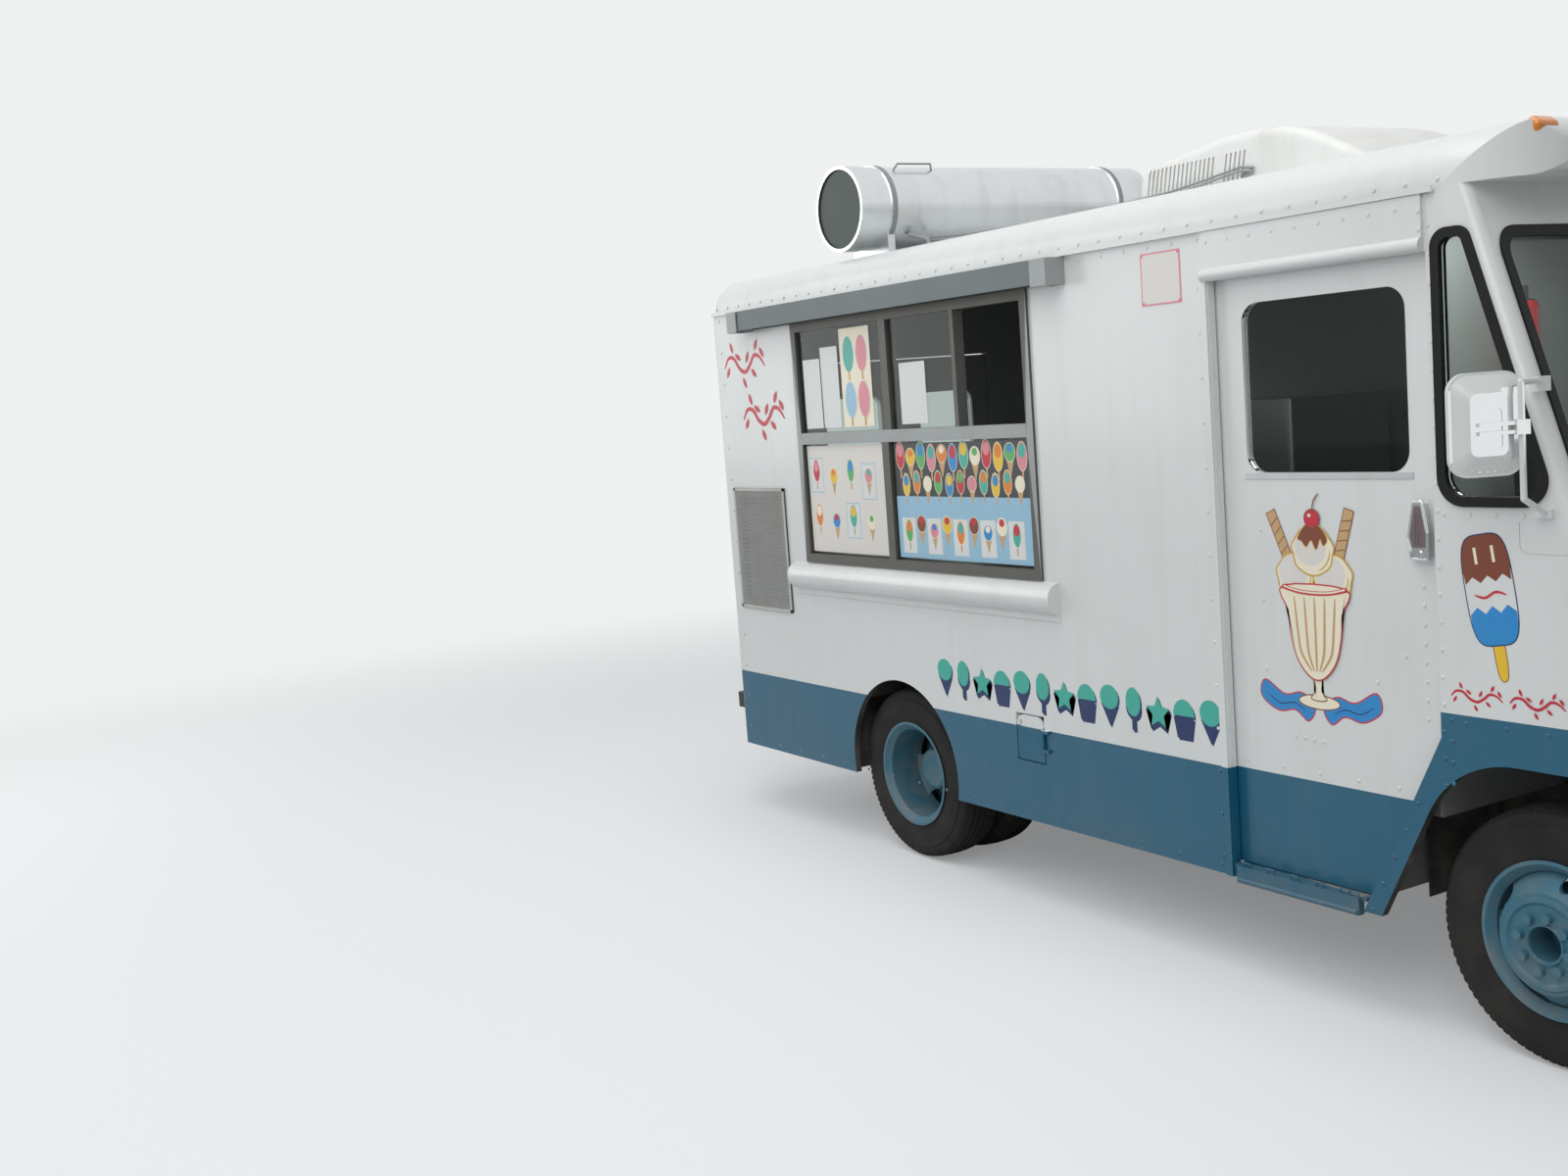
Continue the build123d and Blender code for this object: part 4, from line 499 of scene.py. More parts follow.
# The same columns, on the sliding doors
doorRivetRows = [
    (1.720, 1.02, 1.720, 1.44, 0.06),
    (1.060, 1.118, 1.060, 1.60, 0.24),
    (1.180, 0.897, 1.300, 0.892, 0.04),
    (1.530, 1.118, 1.645, 1.214, 0.15),
    (0.955, 0.78, 1.60, 0.78, 0.16),
]
bm = bmesh.new()
cowlRivets = bmesh.new()
for side in (-1, 1):
    for x0, z0, x1, z1, pitch in sideRivetRows:
        outY = side * (railHalf if doorRearX < x0 < seamX and z0 > 2.4 else halfWidth)
        onCowl = x0 > 1.6 and z0 < 1.6
        addRivetRow(cowlRivets if onCowl else bm, (x0, outY, z0), (x1, outY, z1), (0, side, 0), pitch)
    addRivetRow(bm, (eaveRow["front"], side * halfWidth, eaveRow["z"]),
                (eaveRow["rear"], side * halfWidth, eaveRow["z"]), (0, side, 0), eaveRow["pitch"])
    for y in rearRows["y"]:
        addRivetRow(bm, (rearX, side * y, rearRows["low"]), (rearX, side * y, rearRows["high"]),
                    (-1, 0, 0), rearRows["pitch"])
finishPiece("panelRivets", bm, "wallPaint", "truck")
finishPiece("cowlRivets", cowlRivets, "nosePaint", "truck")
for name, side in (("curb", -1), ("street", 1)):
    bm = bmesh.new()
    for x0, z0, x1, z1, pitch in doorRivetRows:
        addRivetRow(bm, (x0, side * doorHalf, z0), (x1, side * doorHalf, z1), (0, side, 0), pitch)
    finishPiece(f"doorRivets_{name}", bm, "wallPaint", f"door_{name}")
print("rivets made")


# Roof tank: two straps with raised dots, a carrying handle and a drain pipe

straps = {"y": (-0.76, 0.66), "inner": 0.2043, "outer": 0.2051, "half": 0.014, "dots": 40,
          "dotRadius": 0.0045, "dotReach": (0.2038, 0.2056)}
# The handle leans forward and stays below the tank's highest point; its path is (reach from the axis, y)
tankHandle = {"lean": 30, "path": ((0.192, -0.690), (0.229, -0.672), (0.229, -0.478), (0.192, -0.460)),
              "radius": 0.005}
drainPipe = {"path": ((tankX + 0.15, -0.66, tankZ - 0.14), (tankX + 0.22, -0.60, tankZ - 0.17),
                      (tankX + 0.24, -0.60, 2.83)), "radius": 0.011}

bm = bmesh.new()
for y in straps["y"]:
    low, high = y - straps["half"], y + straps["half"]
    addTurned(bm, [(straps["inner"], low), (straps["outer"], low), (straps["outer"], high),
                   (straps["inner"], high)], (tankX, 0, tankZ))
    for index in range(straps["dots"]):
        angle = 2 * math.pi * index / straps["dots"]
        out = Vector((math.cos(angle), 0, math.sin(angle)))
        foot, head = (Vector((tankX, y, tankZ)) + out * reach for reach in straps["dotReach"])
        addRod(bm, foot, head, straps["dotRadius"], sides=6)
finishPiece("tankStraps", bm, "tankStrap", "truck")
bm = bmesh.new()
lean = math.radians(tankHandle["lean"])
addWire(bm, [(tankX + reach * math.sin(lean), y, tankZ + reach * math.cos(lean))
             for reach, y in tankHandle["path"]], tankHandle["radius"])
addWire(bm, drainPipe["path"], drainPipe["radius"])
finishPiece("tankHandle", bm, "cableGrey", "truck", smooth=True)

# Cable from the air conditioner back along the roof to the tank, with clips under its middle bends
cable = {
    "route": ((0.36, -0.396, 2.885), (0.43, -0.404, 2.908), (0.37, -0.410, 2.918), (0.20, -0.420, 2.896),
              (0.00, -0.428, 2.876), (-0.30, -0.435, 2.868), (-0.85, -0.450, 2.866), (-1.30, -0.500, 2.866),
              (-1.50, -0.540, 2.880)),
    "radius": 0.0048, "wires": ((0.0, 0.0), (0.004, 0.014)),  # each wire's shift in y and z
    "firstClip": 4, "pastClips": 8, "clipX": 0.015, "clipY": 0.012, "clipFoot": 2.822,
}
bm = bmesh.new()
for shift, lift in cable["wires"]:
    addWire(bm, [(x, y + shift, z + lift) for x, y, z in cable["route"]], cable["radius"])
for x, y, z in cable["route"][cable["firstClip"]:cable["pastClips"]]:
    addBlock(bm, (x - cable["clipX"], y - cable["clipY"], cable["clipFoot"]),
             (x + cable["clipX"], y + cable["clipY"], z))
finishPiece("roofCable", bm, "cableGrey", "truck", smooth=True)
print("roof fittings made")


# Expanded mesh over the vent: two sets of slanted strands in a thin border

vent = {"x": (-2.543, -2.057), "z": (1.112, 1.718), "pitch": 0.017, "slope": 1.1, "strand": 0.0042,
        "shortest": 0.004, "out": 0.0094, "layerOut": 0.0004,
        "borderX": (-2.555, -2.045), "borderZ": (1.100, 1.730), "border": 0.015, "borderOut": (0.006, 0.0115)}
(meshX0, meshX1), (meshZ0, meshZ1) = vent["x"], vent["z"]
spanZ = vent["slope"] * (meshX1 - meshX0)
startZ = meshZ0 - spanZ
stepZ = vent["pitch"] * vent["slope"]
bm = bmesh.new()
for lean in (-1, 1):
    slope = lean * vent["slope"]
    strandY = wallY - vent["out"] - vent["layerOut"] * lean
    half = vent["strand"] / 2 * math.hypot(1, slope)
    for index in range(int((meshZ1 - startZ + spanZ) / stepZ)):
        # One strand runs z = offset + slope (x - meshX0), cut to the border
        offset = startZ + index * vent["pitch"] * vent["slope"]
        ends = sorted(meshX0 + (edge - offset) / slope for edge in (meshZ0, meshZ1))
        x0, x1 = max(ends[0], meshX0), min(ends[1], meshX1)
        if x1 - x0 < vent["shortest"]:
            continue
        z0, z1 = (offset + slope * (x - meshX0) for x in (x0, x1))
        corners = ((x0, z0 - half), (x1, z1 - half), (x1, z1 + half), (x0, z0 + half))
        bm.faces.new([bm.verts.new((x, strandY, z)) for x, z in corners])
(x0, x1), (z0, z1), wide = vent["borderX"], vent["borderZ"], vent["border"]
for rangeX, rangeZ in (((x0, x0 + wide), (z0, z1)), ((x1 - wide, x1), (z0, z1)),
                       ((x0, x1), (z0, z0 + wide)), ((x0, x1), (z1 - wide, z1))):
    addSideBlock(bm, -1, rangeX, [halfWidth + out for out in vent["borderOut"]], rangeZ)
finishPiece("ventMesh", bm, "meshPaint", "truck")


# Chromed rim, dark paddle and key barrel on each pull handle; bright sill below each door pane

grip = {
    "x": seamX - 0.062,
    "rim": ((-0.029, 1.531), (0.030, 1.531), (0.033, 1.612), (0.014, 1.706), (-0.018, 1.706), (-0.041, 1.596),
            (-0.029, 1.556)),  # x from the grip's middle, z
    "rimOut": 1.1475, "rimRadius": 0.0032,
    "keyZ": 1.548, "keyOut": (1.146, 1.151), "keyRadius": 0.010,
    "paddle": ((-0.022, 1.566), (0.023, 1.566), (0.024, 1.612), (0.009, 1.694), (-0.013, 1.694),
               (-0.030, 1.600)),
    "paddleOut": 1.1474, "paddleThickness": 0.0012,
    "ribs": (-0.010, 0.000, 0.010), "ribZ": (1.575, 1.670), "ribNarrowing": 0.7, "ribOut": 1.1485,
    "ribRadius": 0.0018,
}
sill = {"x": (1.003, 1.697), "out": (1.1125, 1.1160), "z": (1.774, 1.796), "bevel": 0.0008}
for name, side in (("curb", -1), ("street", 1)):
    bm = bmesh.new()
    rim = [(grip["x"] + x, side * grip["rimOut"], z) for x, z in grip["rim"]]
    addWire(bm, rim + rim[:1], grip["rimRadius"])
    addBall(bm, rim[0], grip["rimRadius"])
    addRod(bm, *((grip["x"], side * out, grip["keyZ"]) for out in grip["keyOut"]), grip["keyRadius"])
    finishPiece(f"handleRim_{name}", bm, "chrome", f"door_{name}", smooth=True)
    bm = bmesh.new()
    paddle = [(grip["x"] + x, side * grip["paddleOut"], z) for x, z in grip["paddle"]]
    face = bm.faces.new([bm.verts.new(corner) for corner in paddle])
    bmesh.ops.extrude_face_region(bm, geom=[face])
    bmesh.ops.translate(bm, vec=(0, side * grip["paddleThickness"], 0), verts=face.verts)
    for shift in grip["ribs"]:
        foot = (grip["x"] + shift, side * grip["ribOut"], grip["ribZ"][0])
        head = (grip["x"] + shift * grip["ribNarrowing"], side * grip["ribOut"], grip["ribZ"][1])
        addRod(bm, foot, head, grip["ribRadius"], sides=8)
    finishPiece(f"handlePaddle_{name}", bm, "handleInset", f"door_{name}")
    bm = bmesh.new()
    addSideBlock(bm, side, sill["x"], sill["out"], sill["z"], sill["bevel"])
    finishPiece(f"doorSill_{name}", bm, "sillMetal", f"door_{name}")

# Hoops and tube along the step nosing
nosing = {"hoops": (0.964, 1.075, 1.186, 1.297, 1.400, 1.440), "hoopOut": 1.157, "hoopHalf": 0.017,
          "hoopZ": (0.396, 0.415), "hoopRadius": 0.003, "tubeX": (0.930, 1.455), "tubeOut": 1.160,
          "tubeZ": 0.349, "tubeRadius": 0.011}
bm = bmesh.new()
for side in (-1, 1):
    low, high = nosing["hoopZ"]
    for x in nosing["hoops"]:
        rear, front = x - nosing["hoopHalf"], x + nosing["hoopHalf"]
        hoop = ((rear, low), (rear, high), (front, high), (front, low))
        addWire(bm, [(a, side * nosing["hoopOut"], z) for a, z in hoop], nosing["hoopRadius"])
    rear, front = ((x, side * nosing["tubeOut"], nosing["tubeZ"]) for x in nosing["tubeX"])
    addRod(bm, rear, front, nosing["tubeRadius"])
finishPiece("stepHoops", bm, "tealPaint", "truck", smooth=True)

# Latch of the fuel flap: a barrel with a thumb bar across it
latch = {"x": -0.270, "z": 0.770, "radius": 0.010, "barrelY": (0.001, -0.004), "bar": (0.004, 0.012),
         "barY": (-0.0075, -0.003)}
bm = bmesh.new()
addRod(bm, *((latch["x"], wallY + y, latch["z"]) for y in latch["barrelY"]), latch["radius"])
barX, barZ = latch["bar"]
addBlock(bm, (latch["x"] - barX, wallY + latch["barY"][0], latch["z"] - barZ),
         (latch["x"] + barX, wallY + latch["barY"][1], latch["z"] + barZ))
finishPiece("flapLatch", bm, "chrome", "fuel_flap")

# Wipers hung from above the windscreen
wiper = {"pivotY": 0.60, "pivotZ": 2.545, "pivotOut": 0.020, "hub": (-0.035, 0.006), "hubRadius": 0.014,
         "tipY": 0.42, "tipZ": 2.20, "tipOut": 0.030, "armRadius": 0.0045,
         "bladeHalf": 0.20, "bladeIn": 0.012, "bladeRadius": 0.006}
bm = bmesh.new()
for side in (-1, 1):
    pivot = Vector((screenX(wiper["pivotZ"]) + wiper["pivotOut"], side * wiper["pivotY"], wiper["pivotZ"]))
    tip = Vector((screenX(wiper["tipZ"]) + wiper["tipOut"], side * wiper["tipY"], wiper["tipZ"]))
    addRod(bm, *((pivot.x + x, pivot.y, pivot.z) for x in wiper["hub"]), wiper["hubRadius"])
    addRod(bm, pivot, tip, wiper["armRadius"], sides=8)
    reach = Vector((screenX(2.00) - screenX(2.40), side * -0.16, -0.40)).normalized() * wiper["bladeHalf"]
    middle = tip - Vector((wiper["bladeIn"], 0, 0))
    addRod(bm, middle - reach, middle + reach, wiper["bladeRadius"], sides=8)
finishPiece("wipers", bm, "chassisBlack", "truck", smooth=True)

# Small bosses along the mirrors' lower rim
bosses = {"x": 2.160, "y": 1.394, "z": 1.818, "turn": 57, "steps": range(-3, 4), "apart": 0.021,
          "offset": -0.0155, "rise": 0.0012, "radius": 0.004}
turn = math.radians(bosses["turn"])
bm = bmesh.new()
for side in (-1, 1):
    for index in bosses["steps"]:
        x, y = index * bosses["apart"], bosses["offset"]
        addBall(bm, (bosses["x"] + x * math.cos(turn) - y * math.sin(turn),
                     side * (bosses["y"] - x * math.sin(turn) - y * math.cos(turn)),
                     bosses["z"] + bosses["rise"] * index ** 2), bosses["radius"])
finishPiece("mirrorBosses", bm, "chrome", "truck", smooth=True)

# Flat mud panels behind the front wheels and on both sides of the rear ones
# Columns: x, range out from the middle, range of z
mudPanels = [
    (1.498, (0.44, 0.86), (0.345, 0.940)),
    (-1.612, (0.66, 1.118), (0.360, 0.720)),
    (-0.702, (0.66, 1.118), (0.360, 0.720)),
]
panelThickness = 0.004
bm = bmesh.new()
for side in (-1, 1):
    for x, out, z in mudPanels:
        addSideBlock(bm, side, (x, x + panelThickness), out, z)
finishPiece("splashPanels", bm, "chassisBlack", "truck")
print("fittings made")


# Flat artwork: closed smooth loops and tapered strokes, each layer a hair above the last one

def smoothPath(points, closed=True, steps=6):
    # Catmull-Rom through the points
    points = [Vector(point) for point in points]
    count = len(points)
    path = []
    for index in range(count if closed else count - 1):
        if closed:
            a, b, c, d = (points[(index + shift) % count] for shift in (-1, 0, 1, 2))
        else:
            a, b, c, d = (points[min(max(index + shift, 0), count - 1)] for shift in (-1, 0, 1, 2))
        for step in range(steps):
            t = step / steps
            path.append(0.5 * (2 * b + (c - a) * t + (2 * a - 5 * b + 4 * c - d) * t ** 2
                               + (3 * b - a - 3 * c + d) * t ** 3))
    if not closed:
        path.append(points[-1])
    return path


def oval(x, z, width, height, start=0.0, end=360.0, steps=28):
    # Half width and half height; an open arc has its end point too
    count = steps + (end - start < 360)
    turn = [math.radians(start + (end - start) * index / steps) for index in range(count)]
    return [Vector((x + width * math.cos(a), z + height * math.sin(a))) for a in turn]


def box2d(x0, z0, x1, z1):
    return [Vector(corner) for corner in ((x0, z0), (x1, z0), (x1, z1), (x0, z1))]


def turned2d(loop, degrees, centre):
    centre = Vector(centre)
    spin = Matrix.Rotation(math.radians(degrees), 2)
    return [centre + spin @ (Vector(point) - centre) for point in loop]


def newArt(faceY, x=0.0, z=0.0, lift=0.00012):
    return {"bm": bmesh.new(), "inks": [], "layer": 1, "y": faceY, "x": x, "z": z, "lift": lift}


def inkIndex(art, ink):
    if ink not in art["inks"]:
        art["inks"].append(ink)
    return art["inks"].index(ink)


def artVerts(art, points):
    y = art["y"] - art["layer"] * art["lift"]
    return [art["bm"].verts.new((art["x"] + point[0], y, art["z"] + point[1])) for point in points]


def addShape(art, ink, loop, edgeInk=None, edge=0.004):
    # A filled loop, with an edge of edgeInk around it
    if edgeInk:
        addShape(art, edgeInk, grown(loop, edge))
    face = art["bm"].faces.new(artVerts(art, loop))
    face.material_index = inkIndex(art, ink)
    bmesh.ops.triangulate(art["bm"], faces=[face])
    art["layer"] += 1


def grown(loop, distance):
    # The loop moved outward by distance at every point
    area = sum(a[0] * b[1] - a[1] * b[0] for a, b in zip(loop, loop[1:] + loop[:1]))
    distance = math.copysign(distance, area)
    result = []
    for before, point, after in zip(loop[-1:] + loop[:-1], loop, loop[1:] + loop[:1]):
        first, second = (point - before), (after - point)
        if first.length < 1e-9 or second.length < 1e-9:
            continue
        sides = [Vector((v.y, -v.x)).normalized() for v in (first, second)]
        middle = (sides[0] + sides[1]).normalized()
        result.append(point + middle * distance / max(0.5, middle.dot(sides[0])))
    return result


def addStroke(art, ink, points, width, taper=0.0, steps=6):
    # A ribbon along the points; taper above 0 thins both ends
    path = smoothPath(points, False, steps)
    last = len(path) - 1
    left, right = [], []
    for index, point in enumerate(path):
        along = (path[min(index + 1, last)] - path[max(index - 1, 0)]).normalized()
        half = width / 2 * (1 - taper * (2 * index / last - 1) ** 4)
        normal = Vector((-along.y, along.x)) * half
        left.append(point + normal)
        right.append(point - normal)
    leftVerts, rightVerts = artVerts(art, left), artVerts(art, right)
    for i in range(last):
        face = art["bm"].faces.new((leftVerts[i], leftVerts[i + 1], rightVerts[i + 1], rightVerts[i]))
        face.material_index = inkIndex(art, ink)
    art["layer"] += 1


def finishArt(name, art, body):
    art["bm"].normal_update()
    piece = newObject(name, art["bm"], [inks[ink] for ink in art["inks"]])
    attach(piece, body)


# Door picture: a footed sundae glass with three scoops, wafers, a cherry and a blue ribbon below

sundae = {
    "x": 1.288, "z": 0.950,
    "ribbon": ((0.020, 0.058), (0.075, 0.098), (0.150, 0.086), (0.235, 0.128), (0.252, 0.072), (0.180, 0.030),
               (0.105, 0.040), (0.050, 0.008)),
    "fold": ((0.060, 0.040), (0.110, 0.062), (0.170, 0.054), (0.225, 0.082)),
    "stem": ((-0.030, 0.085), (-0.011, 0.115), (-0.016, 0.165), (0.016, 0.165), (0.011, 0.115),
             (0.030, 0.085)),
    "wafers": ((-24, -0.075), (17, 0.080)),  # degrees of lean, x of the foot
    "waferHalf": 0.019, "waferZ": (0.48, 0.735), "waferLines": 5, "waferPitch": 0.034,
    "scoops": ((-0.078, 0.500, 0.078), (0.078, 0.500, 0.078), (0.0, 0.585, 0.084)),  # x, z, radius
    "scoopWave": 0.004, "scoopWaves": 7, "scoopSteps": 42,
    "sauce": ((-0.060, 0.628), (-0.030, 0.668), (0.0, 0.678), (0.034, 0.666), (0.062, 0.626), (0.046, 0.606),
              (0.034, 0.628), (0.016, 0.592), (-0.004, 0.622), (-0.026, 0.600), (-0.044, 0.618)),
    "stalk": ((0.004, 0.718), (0.012, 0.752), (0.034, 0.778)),
    "bowl": ((-0.026, 0.160), (0.026, 0.160), (0.078, 0.215), (0.104, 0.300), (0.112, 0.380), (0.132, 0.462),
             (-0.132, 0.462), (-0.112, 0.380), (-0.104, 0.300), (-0.078, 0.215)),
    "flutes": (-0.72, -0.36, 0.0, 0.36, 0.72),
    "flute": ((0.030, 0.180), (0.088, 0.240), (0.106, 0.320), (0.120, 0.430)),
    "rim": ((-0.136, 0.462), (-0.070, 0.448), (0.0, 0.444), (0.070, 0.448), (0.136, 0.462)),
    "rimLight": ((-0.130, 0.463), (-0.070, 0.450), (0.0, 0.446), (0.070, 0.450), (0.130, 0.463)),
}


def mirrored2d(points, side):
    return [(side * x, z) for x, z in points]


art = newArt(doorFaceY, sundae["x"], sundae["z"])
for side in (-1, 1):
    addShape(art, "blue", smoothPath(mirrored2d(sundae["ribbon"], side)), "red", 0.005)
    addStroke(art, "navy", mirrored2d(sundae["fold"], side), 0.004, 0.7)
addShape(art, "cream", oval(0, 0.075, 0.085, 0.022), "brown", 0.004)
addShape(art, "cream", smoothPath(sundae["stem"]), "brown", 0.004)
low, high = sundae["waferZ"]
for lean, x in sundae["wafers"]:
    wafer = box2d(x - sundae["waferHalf"], low, x + sundae["waferHalf"], high)
    addShape(art, "tan", turned2d(wafer, -lean, (x, low)), "brown", 0.003)
    for index in range(sundae["waferLines"]):
        rise = sundae["waferPitch"] * index
        line = turned2d([(x - 0.018, 0.555 + rise), (x + 0.018, 0.570 + rise)], -lean, (x, low))
        addStroke(art, "brown", line, 0.003)
for x, z, radius in sundae["scoops"]:
    turns = [2 * math.pi * index / sundae["scoopSteps"] for index in range(sundae["scoopSteps"])]
    waves = [radius + sundae["scoopWave"] * math.sin(sundae["scoopWaves"] * a) for a in turns]
    scoop = [Vector((x + wave * math.cos(a), z + radius * 0.94 * math.sin(a)))
             for wave, a in zip(waves, turns)]
    addShape(art, "cream", scoop, "gold", 0.006)
    addShape(art, "paper", oval(x - 0.010, z + 0.012, radius * 0.80, radius * 0.74))
    addStroke(art, "gold", oval(x, z, radius * 0.84, radius * 0.80, 285, 365, 10), 0.005, 0.9, steps=2)
addShape(art, "brown", smoothPath(sundae["sauce"]), "gold", 0.003)
addShape(art, "red", oval(0.002, 0.694, 0.031, 0.029), "brown", 0.003)
addShape(art, "white", oval(-0.008, 0.704, 0.007, 0.006))
addStroke(art, "brown", sundae["stalk"], 0.005, 0.6)
addShape(art, "cream", smoothPath(sundae["bowl"], steps=4), "red", 0.005)
for share in sundae["flutes"]:
    addStroke(art, "tan", mirrored2d(sundae["flute"], share), 0.009, 0.6)
addStroke(art, "red", sundae["rim"], 0.015)
addStroke(art, "cream", sundae["rimLight"], 0.006)
finishArt("doorPicture", art, "door_curb")

# Nose picture: a two-coloured ice pop on a yellow stick

pop = {
    "x": 1.985, "z": 1.245, "tilt": 9, "hub": (0, 0.18), "steps": 48,
    "half": (0.082, 0.165), "middle": 0.205, "squareness": (0.45, 0.62),
    "stick": ((-0.014, -0.055), (0.014, -0.055), (0.016, 0.060), (-0.016, 0.060)),
    "topTeeth": (-0.078, -0.052, -0.026, 0, 0.026, 0.052, 0.078),
    "lowTeeth": (0.079, 0.052, 0.026, 0, -0.026, -0.052, -0.079),
    "smile": ((-0.055, 0.195), (-0.020, 0.183), (0.020, 0.197), (0.055, 0.185)),
}


def eased(value, power):
    return math.copysign(abs(value) ** power, value)


def tilted(loop):
    return turned2d(loop, pop["tilt"], pop["hub"])


turns = [2 * math.pi * (index + 0.5) / pop["steps"] for index in range(pop["steps"])]
popLoop = [Vector((pop["half"][0] * eased(math.cos(a), pop["squareness"][0]),
                   pop["middle"] + pop["half"][1] * eased(math.sin(a), pop["squareness"][1]))) for a in turns]
topTeeth = [Vector((x, 0.228 + 0.020 * (index % 2))) for index, x in enumerate(pop["topTeeth"])]
lowTeeth = [Vector((x, 0.135 + 0.022 * (index % 2))) for index, x in enumerate(pop["lowTeeth"])]
art = newArt(wallY, pop["x"], pop["z"])
addShape(art, "yellow", tilted(smoothPath(pop["stick"], steps=5)), "brown", 0.003)
addShape(art, "white", tilted(popLoop), "navy", 0.004)
addShape(art, "brown", tilted([p for p in popLoop if p.y > 0.245] + topTeeth))
addShape(art, "blue", tilted([p for p in popLoop if p.y < 0.115] + lowTeeth))
for x in (-0.030, 0.030):
    addStroke(art, "cream", tilted([(x, 0.285), (x, 0.335)]), 0.010)
addStroke(art, "red", tilted(pop["smile"]), 0.008, 0.8)
finishArt("nosePicture", art, "truck")

# Red vines, a small pair below the nose picture and a large pair on the wall's rear part

vine = {
    "stem": ((-1.00, -0.10), (-0.80, 0.32), (-0.52, 0.30), (-0.26, -0.16), (0.02, -0.34), (0.28, -0.04),
             (0.50, 0.34), (0.76, 0.26), (1.00, -0.16)),
    "leaves": ((-0.84, -0.30, -35), (-0.60, 0.78, 25), (-0.30, 0.34, 60), (-0.04, -0.82, 30),
               (0.16, 0.30, -30), (0.44, -0.42, 50), (0.62, 0.80, -30), (0.88, 0.44, 40)),  # x, z, degrees
    "leaf": ((0, -1), (0.8, -0.45), (1, 0.1), (0.6, 0.6), (0, 1), (-0.6, 0.6), (-1, 0.1), (-0.8, -0.45)),
    "leafWidth": 0.42,
}


def addVine(art, ink, x, z, reach, rise, width):
    # A waving stem with eight leaves
    addStroke(art, ink, [(x + reach * a, z + rise * b) for a, b in vine["stem"]], width, 0.6, steps=8)
    long = min(rise * 0.30, width * 2.6)
    for a, b, turn in vine["leaves"]:
        centre = (x + reach * a, z + rise * b)
        leaf = [(centre[0] + across * long * vine["leafWidth"], centre[1] + up * long)
                for across, up in vine["leaf"]]
        addShape(art, ink, turned2d(leaf, turn, centre))


# Columns: piece, places (x, z), half length, half height, stem width
for name, places, reach, rise, width in (
    ("noseFlourish", ((1.925, 1.120), (2.128, 1.120)), 0.090, 0.040, 0.009),
    ("rearFlourish", ((-2.352, 2.365), (-2.195, 2.095)), 0.205, 0.115, 0.022),
):
    art = newArt(wallY)
    for x, z in places:
        addVine(art, "red", x, z, reach, rise, width)
    finishArt(name, art, "truck")

# Row of sweet-shop ornaments above the teal band: each mint shape stands on a navy shadow

ornaments = {"start": -0.785, "pitch": 0.1335, "count": 13, "z": 0.905, "shadow": 0.008}


def star(x, z, outer, inner, points=5):
    return [Vector((x - (outer, inner)[index % 2] * math.sin(math.pi * index / points),
                    z + (outer, inner)[index % 2] * math.cos(math.pi * index / points)))
            for index in range(2 * points)]


def loopAt(x, z, points):
    return [Vector((x + a, z + b)) for a, b in points]


def ornament(kind, x, z):
    # One motif as its mint part and its navy part: cone and scoop, pop and stick, star, or cup and dome
    if kind == 0:
        cone = loopAt(x, z, ((-0.048, 0.004), (0.048, 0.004), (0, -0.084)))
        return [oval(x, z + 0.030, 0.052, 0.048)], [cone]
    if kind == 1:
        stick = box2d(x - 0.010, z - 0.084, x + 0.010, z - 0.036)
        return [oval(x, z + 0.026, 0.040, 0.056)], [oval(x, z + 0.004, 0.040, 0.046), stick]
    if kind == 2:
        return [star(x, z, 0.064, 0.031)], [star(x, z - 0.012, 0.068, 0.033)]
    cup = loopAt(x, z, ((-0.052, 0), (0.052, 0), (0.036, -0.080), (-0.036, -0.080)))
    return [oval(x, z + 0.004, 0.054, 0.062, 0, 180, 18)], [cup]


art = newArt(wallY)
shadow = Vector((ornaments["shadow"], -ornaments["shadow"]))
for index in range(ornaments["count"]):
    mint, navy = ornament(index % 4, ornaments["start"] + ornaments["pitch"] * index, ornaments["z"])
    art["layer"] = 1
    for ink, loop in ([("navy", [p + shadow for p in loop]) for loop in navy + mint]
                      + [("navy", loop) for loop in navy] + [("mint", loop) for loop in mint]):
        addShape(art, ink, loop)
finishArt("sideOrnaments", art, "truck")

# Blank permit card in its frame, held by a screw at each corner

permit = {"x": (0.580, 0.779), "z": (2.400, 2.586), "y": (-0.0015, 0.001), "screwIn": 0.010,
          "screwOut": 0.004, "screwRadius": 0.004, "faceIn": 0.006, "faceOut": 0.0016}
(x0, x1), (z0, z1) = permit["x"], permit["z"]
bm = bmesh.new()
addBlock(bm, (x0, wallY + permit["y"][0], z0), (x1, wallY + permit["y"][1], z1))
for x in (x0 + permit["screwIn"], x1 - permit["screwIn"]):
    for z in (z0 + permit["screwIn"], z1 - permit["screwIn"]):
        addRod(bm, (x, wallY, z), (x, wallY - permit["screwOut"], z), permit["screwRadius"], sides=8)
finishPiece("permitCard", bm, "pink", "truck")
art = newArt(wallY - permit["faceOut"])
inset = permit["faceIn"]
addShape(art, "paper", box2d(x0 + inset, z0 + inset, x1 - inset, z1 - inset))
finishArt("permitFace", art, "truck")

# Plain cards and pop pictures stuck on the serving panes

popInks = ("red", "yellow", "green", "pink", "orange", "blue", "mint", "cream")
pane = {"faceY": -1.1461, "lift": 0.00015, "low": 1.424, "high": 1.936, "skyTop": 1.700,
        "posterX": (-1.068, -0.118), "boardX": (-1.810, -1.150), "upperLow": 2.020}
